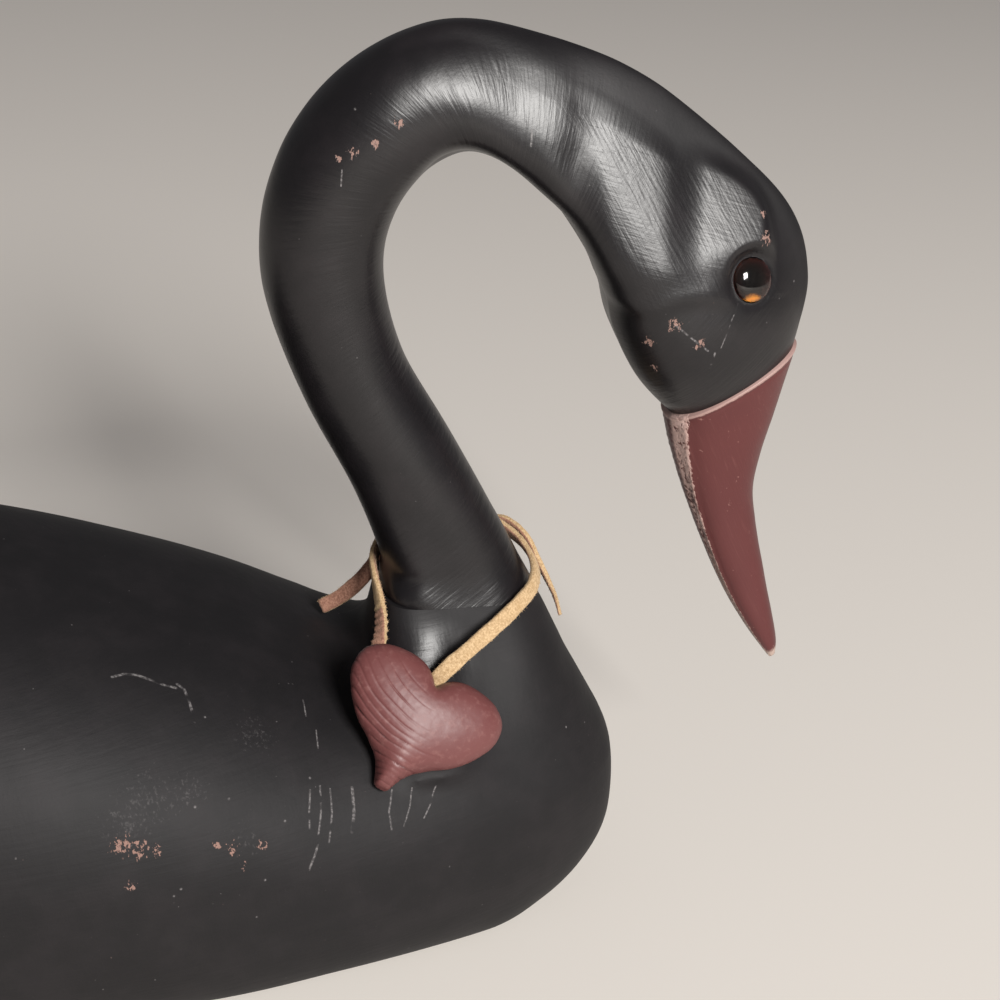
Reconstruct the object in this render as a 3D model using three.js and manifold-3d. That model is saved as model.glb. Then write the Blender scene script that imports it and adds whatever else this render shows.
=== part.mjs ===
// A folk-carved wooden swan decoy: a smooth black body on a flat underside, an S-shaped neck with its bowed
// head carved in one, a maroon bill glued to the face, two glass eyes, and a wooden heart on a suede lace
// round the foot of the neck.
//
// Millimetres. +X is the way the swan faces, +Z is up and -Y is its right side. The origin lies in the flat
// underside, on the centre line, under the middle of the body.

import * as THREE from "three";
import { mergeVertices } from "three/addons/utils/BufferGeometryUtils.js";
import Module from "manifold-3d";

// Body
const BODY_LENGTH = 396;
const BODY_WIDTH = 168;
const BODY_HEIGHT = 119;
const BREAST_X = 191;

// Neck and head: the neck's line starts this far behind the breast and this far above the back
const NECK_FROM_BREAST = 49;
const NECK_ABOVE_BACK = 9;
const NECK_RISE = 155;
const NECK_THICKNESS = 34;
const HEAD_DEPTH = 58;
const HEAD_WIDTH = 43;

// Bill: its base stands proud of the face all round by the lip
const BILL_LENGTH = 92;
const BILL_BASE_DEPTH = 42;
const BILL_BASE_WIDTH = 30;
const BILL_LIP = 0.6;

// Glass eyes
const EYE_DIAMETER = 12;
const EYE_DOME = 2.6;
const EYE_SEAT_DEPTH = 3;
const EYE_EDGE = 0.8;

// Heart and lace
const HEART_WIDTH = 47;
const HEART_HEIGHT = 37.5;
const HEART_THICKNESS = 12.5;
const LACE_DIAMETER = 4;
const HOLE_EASE = 0.6;

// Faces that touch on the real swan are modelled this far apart
const GLUE_GAP = 0.3;

// How finely the carved surfaces are faceted
const BODY_STATIONS = 38;
const BODY_HALF_SIDES = 16;
const NECK_STATIONS = 46;
const NECK_SIDES = 26;
const BILL_STATIONS = 16;
const BILL_SIDES = 18;
const EYE_SIDES = 20;
const EYE_STEPS = 6;
const HEART_SIDES = 44;
const LACE_STEPS = 78;
const LACE_SIDES = 8;

const wasm = await Module();
wasm.setup();

// A closed mesh as a solid that can be joined to others or cut
function solidOf(geometry) {
  const bare = geometry.clone();
  bare.deleteAttribute("normal");
  bare.deleteAttribute("uv");
  const merged = mergeVertices(bare, 1e-4);
  return new wasm.Manifold(
    new wasm.Mesh({
      numProp: 3,
      vertProperties: new Float32Array(merged.attributes.position.array),
      triVerts: new Uint32Array(merged.index.array),
    }),
  );
}

function geometryOf(solid) {
  const mesh = solid.getMesh();
  const geometry = new THREE.BufferGeometry();
  geometry.setAttribute("position", new THREE.BufferAttribute(mesh.vertProperties, 3));
  geometry.setIndex(new THREE.BufferAttribute(mesh.triVerts, 1));
  geometry.computeVertexNormals();
  return geometry;
}

// A closed surface through rings of points that all run the same way round, with a fan over each end
function loft(rings) {
  const sides = rings[0].length;
  const positions = rings.flat().flatMap((point) => [point.x, point.y, point.z]);
  const faces = [];
  for (let ring = 0; ring < rings.length - 1; ring += 1) {
    for (let side = 0; side < sides; side += 1) {
      const next = (side + 1) % sides;
      const here = ring * sides;
      const above = here + sides;
      faces.push(here + side, here + next, above + next);
      faces.push(here + side, above + next, above + side);
    }
  }
  for (const [ring, turned] of [[0, true], [rings.length - 1, false]]) {
    const middle = new THREE.Vector3();
    rings[ring].forEach((point) => middle.addScaledVector(point, 1 / sides));
    const hub = positions.length / 3;
    positions.push(middle.x, middle.y, middle.z);
    for (let side = 0; side < sides; side += 1) {
      const a = ring * sides + side;
      const b = ring * sides + ((side + 1) % sides);
      faces.push(...(turned ? [hub, b, a] : [hub, a, b]));
    }
  }
  const geometry = new THREE.BufferGeometry();
  geometry.setAttribute("position", new THREE.Float32BufferAttribute(positions, 3));
  geometry.setIndex(faces);
  geometry.computeVertexNormals();
  return geometry;
}

// A smooth curve through pairs of numbers
function lineThrough(pairs) {
  return new THREE.CatmullRomCurve3(pairs.map(([a, b]) => new THREE.Vector3(a, b, 0)), false, "centripetal");
}

// The second number of such a curve where its first number, which only grows, reaches a value
function readLine(line, value) {
  let low = 0;
  let high = 1;
  for (let step = 0; step < 40; step += 1) {
    const middle = (low + high) / 2;
    if (line.getPoint(middle).x < value) low = middle;
    else high = middle;
  }
  return line.getPoint((low + high) / 2).y;
}

// A smooth curve through a pair of numbers of each station
function stationLine(stations, pair) {
  return new THREE.SplineCurve(stations.map((station) => new THREE.Vector2(...pair(station))));
}

// A power that keeps its sign, for rounded squares
function signedPower(value, power) {
  return Math.sign(value) * Math.abs(value) ** power;
}

// Body: hull lines as shares of its length from the breast and of its height or half width
const BACK_LINE = lineThrough([
  [0, 0.31], [0.004, 0.44], [0.02, 0.575], [0.05, 0.68], [0.1, 0.7], [0.17, 0.685], [0.215, 0.7],
  [0.25, 0.74], [0.3, 0.805], [0.38, 0.88], [0.48, 0.955], [0.58, 1], [0.7, 0.955], [0.85, 0.82], [1, 0.72],
]);
const KEEL_LINE = lineThrough([
  [0, 0.31], [0.004, 0.21], [0.015, 0.14], [0.035, 0.07], [0.06, 0.025], [0.095, 0], [0.3, 0], [0.55, 0],
  [0.8, 0], [0.88, 0.03], [0.95, 0.19], [0.985, 0.4], [1, 0.6],
]);
const WIDEST_HEIGHT = lineThrough([
  [0, 0.31], [0.1, 0.33], [0.3, 0.37], [0.6, 0.4], [0.85, 0.48], [1, 0.66],
]);
const HALF_WIDTH_LINE = lineThrough([
  [0, 0], [0.006, 0.19], [0.022, 0.31], [0.06, 0.46], [0.12, 0.615], [0.22, 0.79], [0.34, 0.93], [0.48, 1],
  [0.63, 0.96], [0.78, 0.78], [0.9, 0.5], [0.97, 0.27], [1, 0.06],
]);
// The flat underside's half width, as a share of the widest half width at the same station
const UNDERSIDE_SHARE = lineThrough([
  [0, 0.3], [0.05, 0.42], [0.085, 0.55], [0.125, 0.61], [0.21, 0.7], [0.3, 0.78], [0.5, 0.8], [0.7, 0.76],
  [1, 0.3],
]);
const FLANK_SQUARENESS = 2.25;
const BILGE_SQUARENESS = 2.1;
const BACK_ROUNDNESS = 2.05;

function bodyPoint(share, turn) {
  const halfWidth = (Math.max(readLine(HALF_WIDTH_LINE, share), 0) * BODY_WIDTH) / 2;
  const top = readLine(BACK_LINE, share) * BODY_HEIGHT;
  const keel = Math.max(readLine(KEEL_LINE, share), 0) * BODY_HEIGHT;
  const widest = THREE.MathUtils.clamp(readLine(WIDEST_HEIGHT, share) * BODY_HEIGHT, keel, top);
  const flat = halfWidth * readLine(UNDERSIDE_SHARE, share);
  const across = Math.cos(turn);
  const up = Math.sin(turn);
  const point = new THREE.Vector3(BREAST_X - share * BODY_LENGTH, 0, 0);
  if (up >= 0) {
    point.y = halfWidth * signedPower(across, 2 / FLANK_SQUARENESS);
    point.z = widest + (top - widest) * up ** (2 / BACK_ROUNDNESS);
    return point;
  }
  const inwards = 1 - Math.abs(across) ** (2 / BILGE_SQUARENESS);
  point.y = Math.sign(across) * (halfWidth - (halfWidth - flat) * inwards);
  point.z = widest - (widest - keel) * Math.abs(up) ** (2 / BILGE_SQUARENESS);
  return point;
}

// One ring of the body, from the flat underside's left edge over the back to its right edge
function bodyRing(share) {
  const left = Array.from({ length: BODY_HALF_SIDES + 1 }, (_, step) =>
    bodyPoint(share, (step / BODY_HALF_SIDES - 0.5) * Math.PI),
  );
  const right = left.slice(0, -1).map(({ x, y, z }) => new THREE.Vector3(x, -y, z));
  return [...left, ...right.reverse()];
}

// The stations lie closer together towards the breast and the tail, where the hull turns in
const BREAST_TIP_SHARE = 0.0008;
const STATION_BUNCHING = 0.85;
const bodyShares = Array.from({ length: BODY_STATIONS + 1 }, (_, station) => {
  const even = station / BODY_STATIONS;
  const bunched = (1 - Math.cos(Math.PI * even)) / 2;
  return Math.max(THREE.MathUtils.lerp(even, bunched, STATION_BUNCHING), BREAST_TIP_SHARE);
});
const bodyHull = solidOf(loft(bodyShares.map(bodyRing).reverse()));

// Neck and head: stations up the neck, over the arch and down to the bill. Each is placed in shares of the
// neck's rise, leans forward by its angle from upright, has its depth from throat to back and its width, and
// widens towards the throat by its jaw share. Its widest line lies nearer the throat than its middle by its
// drop, a share of half its depth. Its back half is as square as its crown number, which falls over the head,
// where the flat carved cheeks slope in to a narrow crown.
const NECK_X = BREAST_X - NECK_FROM_BREAST;
const NECK_Z = readLine(BACK_LINE, NECK_FROM_BREAST / BODY_LENGTH) * BODY_HEIGHT + NECK_ABOVE_BACK;
const FACE_DEPTH = BILL_BASE_DEPTH - 2 * BILL_LIP;
const FACE_WIDTH = BILL_BASE_WIDTH - 2 * BILL_LIP;
const NECK_LINE = [
  { at: [0.037, -0.2], lean: -6, depth: 2.1 * NECK_THICKNESS, width: 2.3 * NECK_THICKNESS, jaw: 0 },
  { at: [0.02, -0.1], lean: -11, depth: 1.78 * NECK_THICKNESS, width: 1.85 * NECK_THICKNESS, jaw: 0 },
  { at: [-0.008, 0], lean: -17, depth: 1.43 * NECK_THICKNESS, width: 1.32 * NECK_THICKNESS, jaw: 0 },
  { at: [-0.03, 0.09], lean: -20, depth: 1.2 * NECK_THICKNESS, width: 1.03 * NECK_THICKNESS, jaw: 0 },
  { at: [-0.06, 0.175], lean: -23, depth: 1.05 * NECK_THICKNESS, width: 0.98 * NECK_THICKNESS, jaw: 0 },
  { at: [-0.135, 0.325], lean: -28, depth: 0.94 * NECK_THICKNESS, width: 0.98 * NECK_THICKNESS, jaw: 0 },
  { at: [-0.235, 0.5], lean: -24, depth: 0.9 * NECK_THICKNESS, width: 0.97 * NECK_THICKNESS, jaw: 0 },
  { at: [-0.292, 0.68], lean: -7, depth: 0.98 * NECK_THICKNESS, width: NECK_THICKNESS, jaw: 0 },
  { at: [-0.278, 0.83], lean: 18, depth: 1.02 * NECK_THICKNESS, width: 1.03 * NECK_THICKNESS, jaw: 0 },
  { at: [-0.205, 0.95], lean: 45, depth: 1.03 * NECK_THICKNESS,
    width: 1.03 * NECK_THICKNESS, jaw: 0.06, drop: 0.04 },
  { at: [-0.09, 1.018], lean: 76, depth: 1.03 * NECK_THICKNESS,
    width: 0.99 * NECK_THICKNESS, jaw: 0.12, crown: 2.05, drop: 0.15 },
  { at: [0.03, 1.008], lean: 105, depth: 0.6 * HEAD_DEPTH,
    width: 0.69 * HEAD_WIDTH, jaw: 0.3, crown: 1.85, drop: 0.3 },
  { at: [0.169, 0.946], lean: 124, depth: 0.7 * HEAD_DEPTH,
    width: 0.71 * HEAD_WIDTH, jaw: 0.36, crown: 1.8, drop: 0.36 },
  { at: [0.304, 0.824], lean: 137, depth: 0.86 * HEAD_DEPTH,
    width: 0.9 * HEAD_WIDTH, jaw: 0.4, crown: 1.8, drop: 0.34 },
  { at: [0.385, 0.714], lean: 146, depth: 1.01 * HEAD_DEPTH,
    width: 1.03 * HEAD_WIDTH, jaw: 0.34, crown: 1.8, drop: 0.14 },
  { at: [0.434, 0.605], lean: 149, depth: 0.95 * HEAD_DEPTH,
    width: 0.97 * HEAD_WIDTH, jaw: 0.32, crown: 1.85 },
  { at: [0.463, 0.506], lean: 148, depth: FACE_DEPTH, width: FACE_WIDTH, jaw: 0.16 },
];
const NECK_SQUARENESS = 2.15;
const neckMiddle = stationLine(NECK_LINE, ({ at }) => at);
const neckGirth = stationLine(NECK_LINE, ({ depth, width }) => [depth, width]);
const neckBearing = stationLine(NECK_LINE, ({ lean, drop = 0 }) => [lean, drop]);
const neckForm = stationLine(NECK_LINE, ({ jaw, crown = NECK_SQUARENESS }) => [jaw, crown]);

// Where the neck's line runs at a share of its stations: its middle, and the ways along it and to its back
function neckFrame(share) {
  const [across, up] = neckMiddle.getPoint(share).toArray();
  const lean = THREE.MathUtils.degToRad(neckBearing.getPoint(share).x);
  return {
    middle: new THREE.Vector3(NECK_X + across * NECK_RISE, 0, NECK_Z + up * NECK_RISE),
    along: new THREE.Vector3(Math.sin(lean), 0, Math.cos(lean)),
    backwards: new THREE.Vector3(-Math.cos(lean), 0, Math.sin(lean)),
  };
}

// A point round the neck: turn 0 is its left side and a quarter turn its back
function neckPoint(share, turn) {
  const { middle, backwards } = neckFrame(share);
  const girth = neckGirth.getPoint(share);
  const { x: jaw, y: crown } = neckForm.getPoint(share);
  const { y: drop } = neckBearing.getPoint(share);
  const squareness = Math.sin(turn) > 0 ? crown : NECK_SQUARENESS;
  const up = signedPower(Math.sin(turn), 2 / squareness);
  const across = signedPower(Math.cos(turn), 2 / squareness) * (1 - jaw * up);
  middle.addScaledVector(backwards, (girth.x / 2) * (up - drop * (1 - up * up)));
  middle.y = (girth.y / 2) * across;
  return middle;
}

function ringAcross(point, share, sides) {
  return Array.from({ length: sides }, (_, side) => point(share, (side / sides) * 2 * Math.PI));
}

const neckRings = Array.from({ length: NECK_STATIONS + 1 }, (_, station) =>
  ringAcross(neckPoint, station / NECK_STATIONS, NECK_SIDES),
);
const neckWhole = solidOf(loft(neckRings));

// The glued seat: a flat cut through the neck's foot, with the body's boss carved to meet it
const SEAT_UP_SHARE = 0.075;
const SEAT_REACH = 40;
const SEAT_Z = NECK_Z + SEAT_UP_SHARE * NECK_RISE;
function boxBetween(low, high) {
  const size = new THREE.Vector3().subVectors(high, low);
  const box = new THREE.BoxGeometry(size.x, size.y, size.z);
  box.translate(low.x + size.x / 2, low.y + size.y / 2, low.z + size.z / 2);
  return solidOf(box);
}
const belowSeat = boxBetween(
  new THREE.Vector3(NECK_X - NECK_RISE, -NECK_RISE, SEAT_Z - NECK_RISE),
  new THREE.Vector3(NECK_X + NECK_RISE, NECK_RISE, SEAT_Z),
);
const aboveBoss = boxBetween(
  new THREE.Vector3(NECK_X - SEAT_REACH, -SEAT_REACH, SEAT_Z - GLUE_GAP),
  new THREE.Vector3(NECK_X + NECK_RISE, SEAT_REACH, SEAT_Z + NECK_RISE),
);
const bodySolid = bodyHull.add(neckWhole.intersect(belowSeat)).subtract(aboveBoss);

// Eyes: domed glass buttons in drilled sockets, square to the carved face
const EYE_ALONG = 0.89;
const EYE_TURN = THREE.MathUtils.degToRad(28);
const TANGENT_STEP = 0.01;
function eyePlacement(side) {
  const turn = side > 0 ? EYE_TURN : Math.PI - EYE_TURN;
  const ahead = neckPoint(EYE_ALONG + TANGENT_STEP, turn);
  const behind = neckPoint(EYE_ALONG - TANGENT_STEP, turn);
  const above = neckPoint(EYE_ALONG, turn + TANGENT_STEP);
  const below = neckPoint(EYE_ALONG, turn - TANGENT_STEP);
  const outwards = ahead.sub(behind).cross(above.sub(below)).normalize();
  if (outwards.y * side < 0) outwards.negate();
  const placement = new THREE.Object3D();
  placement.position.copy(neckPoint(EYE_ALONG, turn));
  placement.quaternion.setFromUnitVectors(new THREE.Vector3(0, 1, 0), outwards);
  placement.updateMatrix();
  return placement.matrix;
}
function eyeGeometry(side) {
  const radius = EYE_DIAMETER / 2;
  const dome = Array.from({ length: EYE_STEPS }, (_, step) => {
    const turn = (step / EYE_STEPS) * (Math.PI / 2);
    return new THREE.Vector2(radius * Math.cos(turn), EYE_DOME * Math.sin(turn));
  });
  const profile = [
    new THREE.Vector2(0, -EYE_SEAT_DEPTH),
    new THREE.Vector2(radius - EYE_EDGE, -EYE_SEAT_DEPTH),
    ...dome,
    new THREE.Vector2(0, EYE_DOME),
  ];
  return new THREE.LatheGeometry(profile, EYE_SIDES).applyMatrix4(eyePlacement(side));
}
function eyeSocket(side) {
  const depth = EYE_SEAT_DEPTH + GLUE_GAP;
  const radius = EYE_DIAMETER / 2 + GLUE_GAP;
  const drill = new THREE.CylinderGeometry(radius, radius, EYE_DIAMETER, EYE_SIDES);
  drill.translate(0, EYE_DIAMETER / 2 - depth, 0);
  return solidOf(drill.applyMatrix4(eyePlacement(side)));
}
const neckSolid = neckWhole.subtract(belowSeat).subtract(eyeSocket(1)).subtract(eyeSocket(-1));

// Bill: a long wedge that points a little further down than the face it is glued to, as shares of its length
// and of its depth at the base
const BILL_TOP_LINE = lineThrough([
  [0, 0.5], [0.09, 0.345], [0.17, 0.21], [0.28, 0.02], [0.39, -0.125], [0.5, -0.19], [0.73, -0.28],
  [0.95, -0.36], [1, -0.4],
]);
const BILL_LOWER_LINE = lineThrough([
  [0, -0.51], [0.13, -0.555], [0.32, -0.588], [0.65, -0.59], [0.85, -0.54], [1, -0.47],
]);
const BILL_WIDTH_LINE = lineThrough([
  [0, 1], [0.12, 0.82], [0.3, 0.64], [0.55, 0.51], [0.85, 0.41], [0.96, 0.33], [1, 0.23],
]);
const BILL_SQUARENESS = 2.3;
const BILL_JAW = 0.14;
const BILL_TURN = THREE.MathUtils.degToRad(6);
const face = neckFrame(1);
const billAlong = face.along.clone().applyAxisAngle(new THREE.Vector3(0, 1, 0), BILL_TURN);
const billBackwards = face.backwards.clone().applyAxisAngle(new THREE.Vector3(0, 1, 0), BILL_TURN);
function billPoint(share, turn) {
  const top = readLine(BILL_TOP_LINE, share) * BILL_BASE_DEPTH;
  const low = readLine(BILL_LOWER_LINE, share) * BILL_BASE_DEPTH;
  const halfWidth = (readLine(BILL_WIDTH_LINE, share) * BILL_BASE_WIDTH) / 2;
  const up = signedPower(Math.sin(turn), 2 / BILL_SQUARENESS);
  const across = signedPower(Math.cos(turn), 2 / BILL_SQUARENESS) * (1 - BILL_JAW * up);
  const back = (top + low) / 2 + ((top - low) / 2) * up;
  const slant = Math.tan(BILL_TURN) * back * (1 - share);
  const point = face.middle.clone().addScaledVector(face.along, GLUE_GAP);
  point.addScaledVector(billAlong, share * BILL_LENGTH - slant);
  point.addScaledVector(billBackwards, back);
  point.y = halfWidth * across;
  return point;
}
const billRings = Array.from({ length: BILL_STATIONS + 1 }, (_, station) =>
  ringAcross(billPoint, station / BILL_STATIONS, BILL_SIDES),
);

// Heart: a puffed wooden heart that leans on the right shoulder, drilled from its notch to its back. Its own
// frame has its axis from tip to notch up, its front towards +Z and its origin on the axis between the lobes.
const HEART_ON_BODY = { share: 0.1686, turn: THREE.MathUtils.degToRad(120.5) };
const HEART_STAND_OFF = 12.3;
const HEART_BEARING = THREE.MathUtils.degToRad(8);
const HEART_SLOPE = THREE.MathUtils.degToRad(33);
const HEART_TURN = THREE.MathUtils.degToRad(-33);
const HEART_MIDDLE_SHARE = 0.63;
const HEART_FRONT_SHARE = 0.68;
const HEART_FULLNESS = 2.6;
const HEART_RINGS = [1, 0.94, 0.82, 0.64, 0.42, 0.2];
// Half of its outline, from the notch round a lobe to the tip, in shares of its half width and its height
const HEART_HALF_OUTLINE = lineThrough([
  [0, 0.86], [0.09, 0.93], [0.25, 0.99], [0.52, 1], [0.8, 0.955], [0.97, 0.845], [0.985, 0.7], [0.87, 0.545],
  [0.66, 0.395], [0.41, 0.285], [0.22, 0.18], [0.13, 0.08], [0.08, 0.01], [0, 0],
]);
function heartOutline(share) {
  const onRight = share <= 0.5;
  const { x, y } = HEART_HALF_OUTLINE.getPoint(onRight ? share * 2 : 2 - share * 2);
  const half = HEART_WIDTH / 2;
  return new THREE.Vector2(onRight ? x * half : -x * half, (y - HEART_MIDDLE_SHARE) * HEART_HEIGHT);
}
function heartRing(scale, height) {
  return Array.from({ length: HEART_SIDES }, (_, side) => {
    const { x, y } = heartOutline(side / HEART_SIDES);
    return new THREE.Vector3(x * scale, y * scale, height);
  }).reverse();
}
function puff(scale) {
  return HEART_THICKNESS * Math.sqrt(1 - scale ** HEART_FULLNESS);
}
const heartRings = [
  ...[...HEART_RINGS].reverse().map((scale) => heartRing(scale, puff(scale) * (HEART_FRONT_SHARE - 1))),
  ...HEART_RINGS.slice(1).map((scale) => heartRing(scale, puff(scale) * HEART_FRONT_SHARE)),
];
const heartOutwards = new THREE.Vector3(
  Math.sin(HEART_BEARING) * Math.cos(HEART_SLOPE),
  -Math.cos(HEART_BEARING) * Math.cos(HEART_SLOPE),
  Math.sin(HEART_SLOPE),
);
const heartRight = new THREE.Vector3(0, 0, 1).cross(heartOutwards).normalize();
const heartUp = new THREE.Vector3().crossVectors(heartOutwards, heartRight);
const heartPlacement = new THREE.Matrix4()
  .makeBasis(heartRight, heartUp, heartOutwards)
  .multiply(new THREE.Matrix4().makeRotationZ(HEART_TURN))
  .setPosition(
    bodyPoint(HEART_ON_BODY.share, HEART_ON_BODY.turn).addScaledVector(heartOutwards, HEART_STAND_OFF),
  );

// The lace's hole slants from the notch to the back, as shares of the heart's width, height and thickness
const HOLE_IN = [0.013, 0.36, 0.05];
const HOLE_OUT = [-0.04, -0.027, -0.41];
function heartHole() {
  const radius = LACE_DIAMETER / 2 + HOLE_EASE;
  const [from, to] = [HOLE_IN, HOLE_OUT].map(
    ([across, up, out]) => new THREE.Vector3(across * HEART_WIDTH, up * HEART_HEIGHT, out * HEART_THICKNESS),
  );
  const along = new THREE.Vector3().subVectors(to, from);
  const drill = new THREE.CylinderGeometry(radius, radius, along.length() + HEART_THICKNESS, LACE_SIDES * 2);
  const placement = new THREE.Object3D();
  placement.position.addVectors(from, to).divideScalar(2);
  placement.quaternion.setFromUnitVectors(new THREE.Vector3(0, 1, 0), along.normalize());
  placement.updateMatrix();
  return solidOf(drill.applyMatrix4(placement.matrix));
}
const heartSolid = solidOf(loft(heartRings)).subtract(heartHole());

// Suede lace: from its cut end on the back, round the neck's left side, down through the heart's notch, up
// behind the left lobe, round the neck again, twisted once with itself, to its pointed end at the breast
const LACE_ROUTE = [
  [100.8, 12.5, 87], [106.5, 11, 91.5], [112.5, 10.5, 98], [118, 14, 104],
  [124, 20, 107.5], [131, 24.6, 109.9], [139, 24.8, 114], [146.6, 19.8, 116.3],
  [152, 14, 115], [158.3, 7.5, 112.8], [161.8, -0.8, 109.6], [160.8, -9.5, 106.9],
  [154, -19, 103.6], [143.5, -27.8, 98.2], [132.7, -35.9, 92.3], [129.3, -36.7, 88.2],
  [126, -37.6, 84], [123, -38.4, 80.2], [118.8, -38.7, 77.3], [114, -38.4, 77.8],
  [110.7, -36.8, 80.8], [110, -34.1, 84.8], [111.7, -31, 88.6], [113, -29.5, 90.5],
  [115.6, -22.5, 96.8], [115.8, -14.5, 102], [114.6, -5, 107], [114.8, 3, 108.5],
  [117.8, 11.5, 110.2], [123, 18.5, 112.2], [131, 20.8, 112.2], [139, 21.4, 110.6],
  [147.4, 21, 111.5], [155, 17, 114], [160.5, 12, 111.8], [164, 9, 106.5],
  [167.8, 8.8, 99.5], [171.2, 10, 92.5], [173.6, 11, 85.5],
].map((point) => new THREE.Vector3(...point));
const laceLine = new THREE.CatmullRomCurve3(LACE_ROUTE, false, "centripetal");
function laceGeometry() {
  const section = new THREE.Shape(
    Array.from({ length: LACE_SIDES }, (_, side) => {
      const turn = (side / LACE_SIDES) * 2 * Math.PI;
      return new THREE.Vector2(Math.cos(turn), Math.sin(turn)).multiplyScalar(LACE_DIAMETER / 2);
    }),
  );
  const along = { steps: LACE_STEPS, extrudePath: laceLine, bevelEnabled: false };
  return new THREE.ExtrudeGeometry(section, along);
}

const material = {
  black: new THREE.MeshStandardMaterial({ color: "#1b1919", roughness: 0.45, metalness: 0 }),
  maroon: new THREE.MeshStandardMaterial({ color: "#6e3534", roughness: 0.5, metalness: 0 }),
  heart: new THREE.MeshStandardMaterial({ color: "#7b4243", roughness: 0.5, metalness: 0 }),
  glass: new THREE.MeshStandardMaterial({ color: "#3a120a", roughness: 0.05, metalness: 0 }),
  suede: new THREE.MeshStandardMaterial({ color: "#cfa265", roughness: 0.95, metalness: 0 }),
};

function piece(name, geometry, finish) {
  const mesh = new THREE.Mesh(geometry, finish);
  mesh.name = name;
  return mesh;
}

const swan = new THREE.Group();
swan.add(piece("body", geometryOf(bodySolid), material.black));
swan.add(piece("neck_and_head", geometryOf(neckSolid), material.black));
swan.add(piece("bill", loft(billRings), material.maroon));
swan.add(piece("eye_right", eyeGeometry(-1), material.glass));
swan.add(piece("eye_left", eyeGeometry(1), material.glass));
swan.add(piece("heart_pendant", geometryOf(heartSolid).applyMatrix4(heartPlacement), material.heart));
swan.add(piece("suede_lace", laceGeometry(), material.suede));

export default swan;
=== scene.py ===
import math

import bmesh
import bpy
import numpy as np
from mathutils import Matrix, Vector, noise
from mathutils.bvhtree import BVHTree


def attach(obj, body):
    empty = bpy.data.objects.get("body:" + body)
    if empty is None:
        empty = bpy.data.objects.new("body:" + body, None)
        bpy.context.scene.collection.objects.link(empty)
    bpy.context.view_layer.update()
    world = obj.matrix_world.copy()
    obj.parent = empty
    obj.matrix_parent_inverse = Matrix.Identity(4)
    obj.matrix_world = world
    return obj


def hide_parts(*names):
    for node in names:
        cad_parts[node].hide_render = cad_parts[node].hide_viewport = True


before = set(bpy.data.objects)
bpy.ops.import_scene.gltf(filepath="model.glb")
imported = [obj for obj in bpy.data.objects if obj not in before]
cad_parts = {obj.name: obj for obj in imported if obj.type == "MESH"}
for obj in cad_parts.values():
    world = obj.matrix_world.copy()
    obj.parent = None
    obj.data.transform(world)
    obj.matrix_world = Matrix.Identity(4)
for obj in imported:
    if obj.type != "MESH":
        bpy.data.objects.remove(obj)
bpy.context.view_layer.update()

# Numbers are millimetres and degrees unless they say otherwise. +X is the way the swan faces, -Y is its
# right side, and the origin lies in its flat underside.
MM = 0.001
RIGHT, LEFT = -1, 1
SIDE_WORDS = {RIGHT: "right", LEFT: "left"}

# Camera
IMAGE_SIZE = 1000
CAMERA_PLACE = Vector((66.8, -528.6, 378.7))
CAMERA_BEARING, CAMERA_HEIGHT, CAMERA_ROLL = math.radians(-9), math.radians(25), math.radians(4.5)
CAMERA_FOCAL, CAMERA_SENSOR = 73.125, 36


def facing(bearing, height, roll=0):
    """The ways right, up and out, as columns, of what faces a bearing (0 is the swan's right) and height."""
    level_reach = math.cos(height)
    out = np.array([math.sin(bearing) * level_reach, -math.cos(bearing) * level_reach, math.sin(height)])
    level = np.array([math.cos(bearing), math.sin(bearing), 0])
    upright = np.cross(out, level)
    right = level * math.cos(roll) + upright * math.sin(roll)
    return np.stack([right, upright * math.cos(roll) - level * math.sin(roll), out], -1)


CAMERA_AXES = facing(CAMERA_BEARING, CAMERA_HEIGHT, CAMERA_ROLL)
camera_data = bpy.data.cameras.new("camera")
camera_data.lens = CAMERA_FOCAL
camera_data.sensor_width = CAMERA_SENSOR
camera_data.sensor_fit = "HORIZONTAL"
camera_data.clip_start = 0.01
camera = bpy.data.objects.new("camera", camera_data)
camera.matrix_world = Matrix.Translation(CAMERA_PLACE * MM) @ Matrix(CAMERA_AXES.tolist()).to_4x4()
bpy.context.scene.collection.objects.link(camera)
bpy.context.scene.camera = camera


def sight(pixel):
    """The way from the camera through a pixel of the photograph."""
    across, down = (np.array(pixel) - IMAGE_SIZE / 2) * (CAMERA_SENSOR / CAMERA_FOCAL / IMAGE_SIZE)
    return Vector(CAMERA_AXES @ (across, -down, -1)).normalized()


# Curves and surfaces
def centripetal(points, steps=24):
    """A smooth curve through points, as close samples along it."""
    given = np.asarray(points, float)
    line = np.vstack([2 * given[:1] - given[1:2], given, 2 * given[-1:] - given[-2:-1]])
    share = np.linspace(0, 1, steps, endpoint=False)[:, None]
    parts = []
    for first, start, end, last in zip(line, line[1:], line[2:], line[3:]):
        gap0, gap1, gap2 = (np.linalg.norm(gap) ** 0.5 for gap in (start - first, end - start, last - end))
        leave = (start - first) / gap0 - (end - first) / (gap0 + gap1) + (end - start) / gap1
        arrive = (end - start) / gap1 - (last - start) / (gap1 + gap2) + (last - end) / gap2
        leave, arrive = leave * gap1, arrive * gap1
        parts.append(
            start + leave * share
            + (3 * (end - start) - 2 * leave - arrive) * share ** 2
            + (2 * (start - end) + leave + arrive) * share ** 3
        )
    return np.vstack(parts + [given[-1:]])


def line_through(pairs):
    """The second number of a smooth curve, read where its first number reaches a value."""
    samples = centripetal(pairs)
    return lambda value: np.interp(value, samples[:, 0], samples[:, 1])


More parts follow.
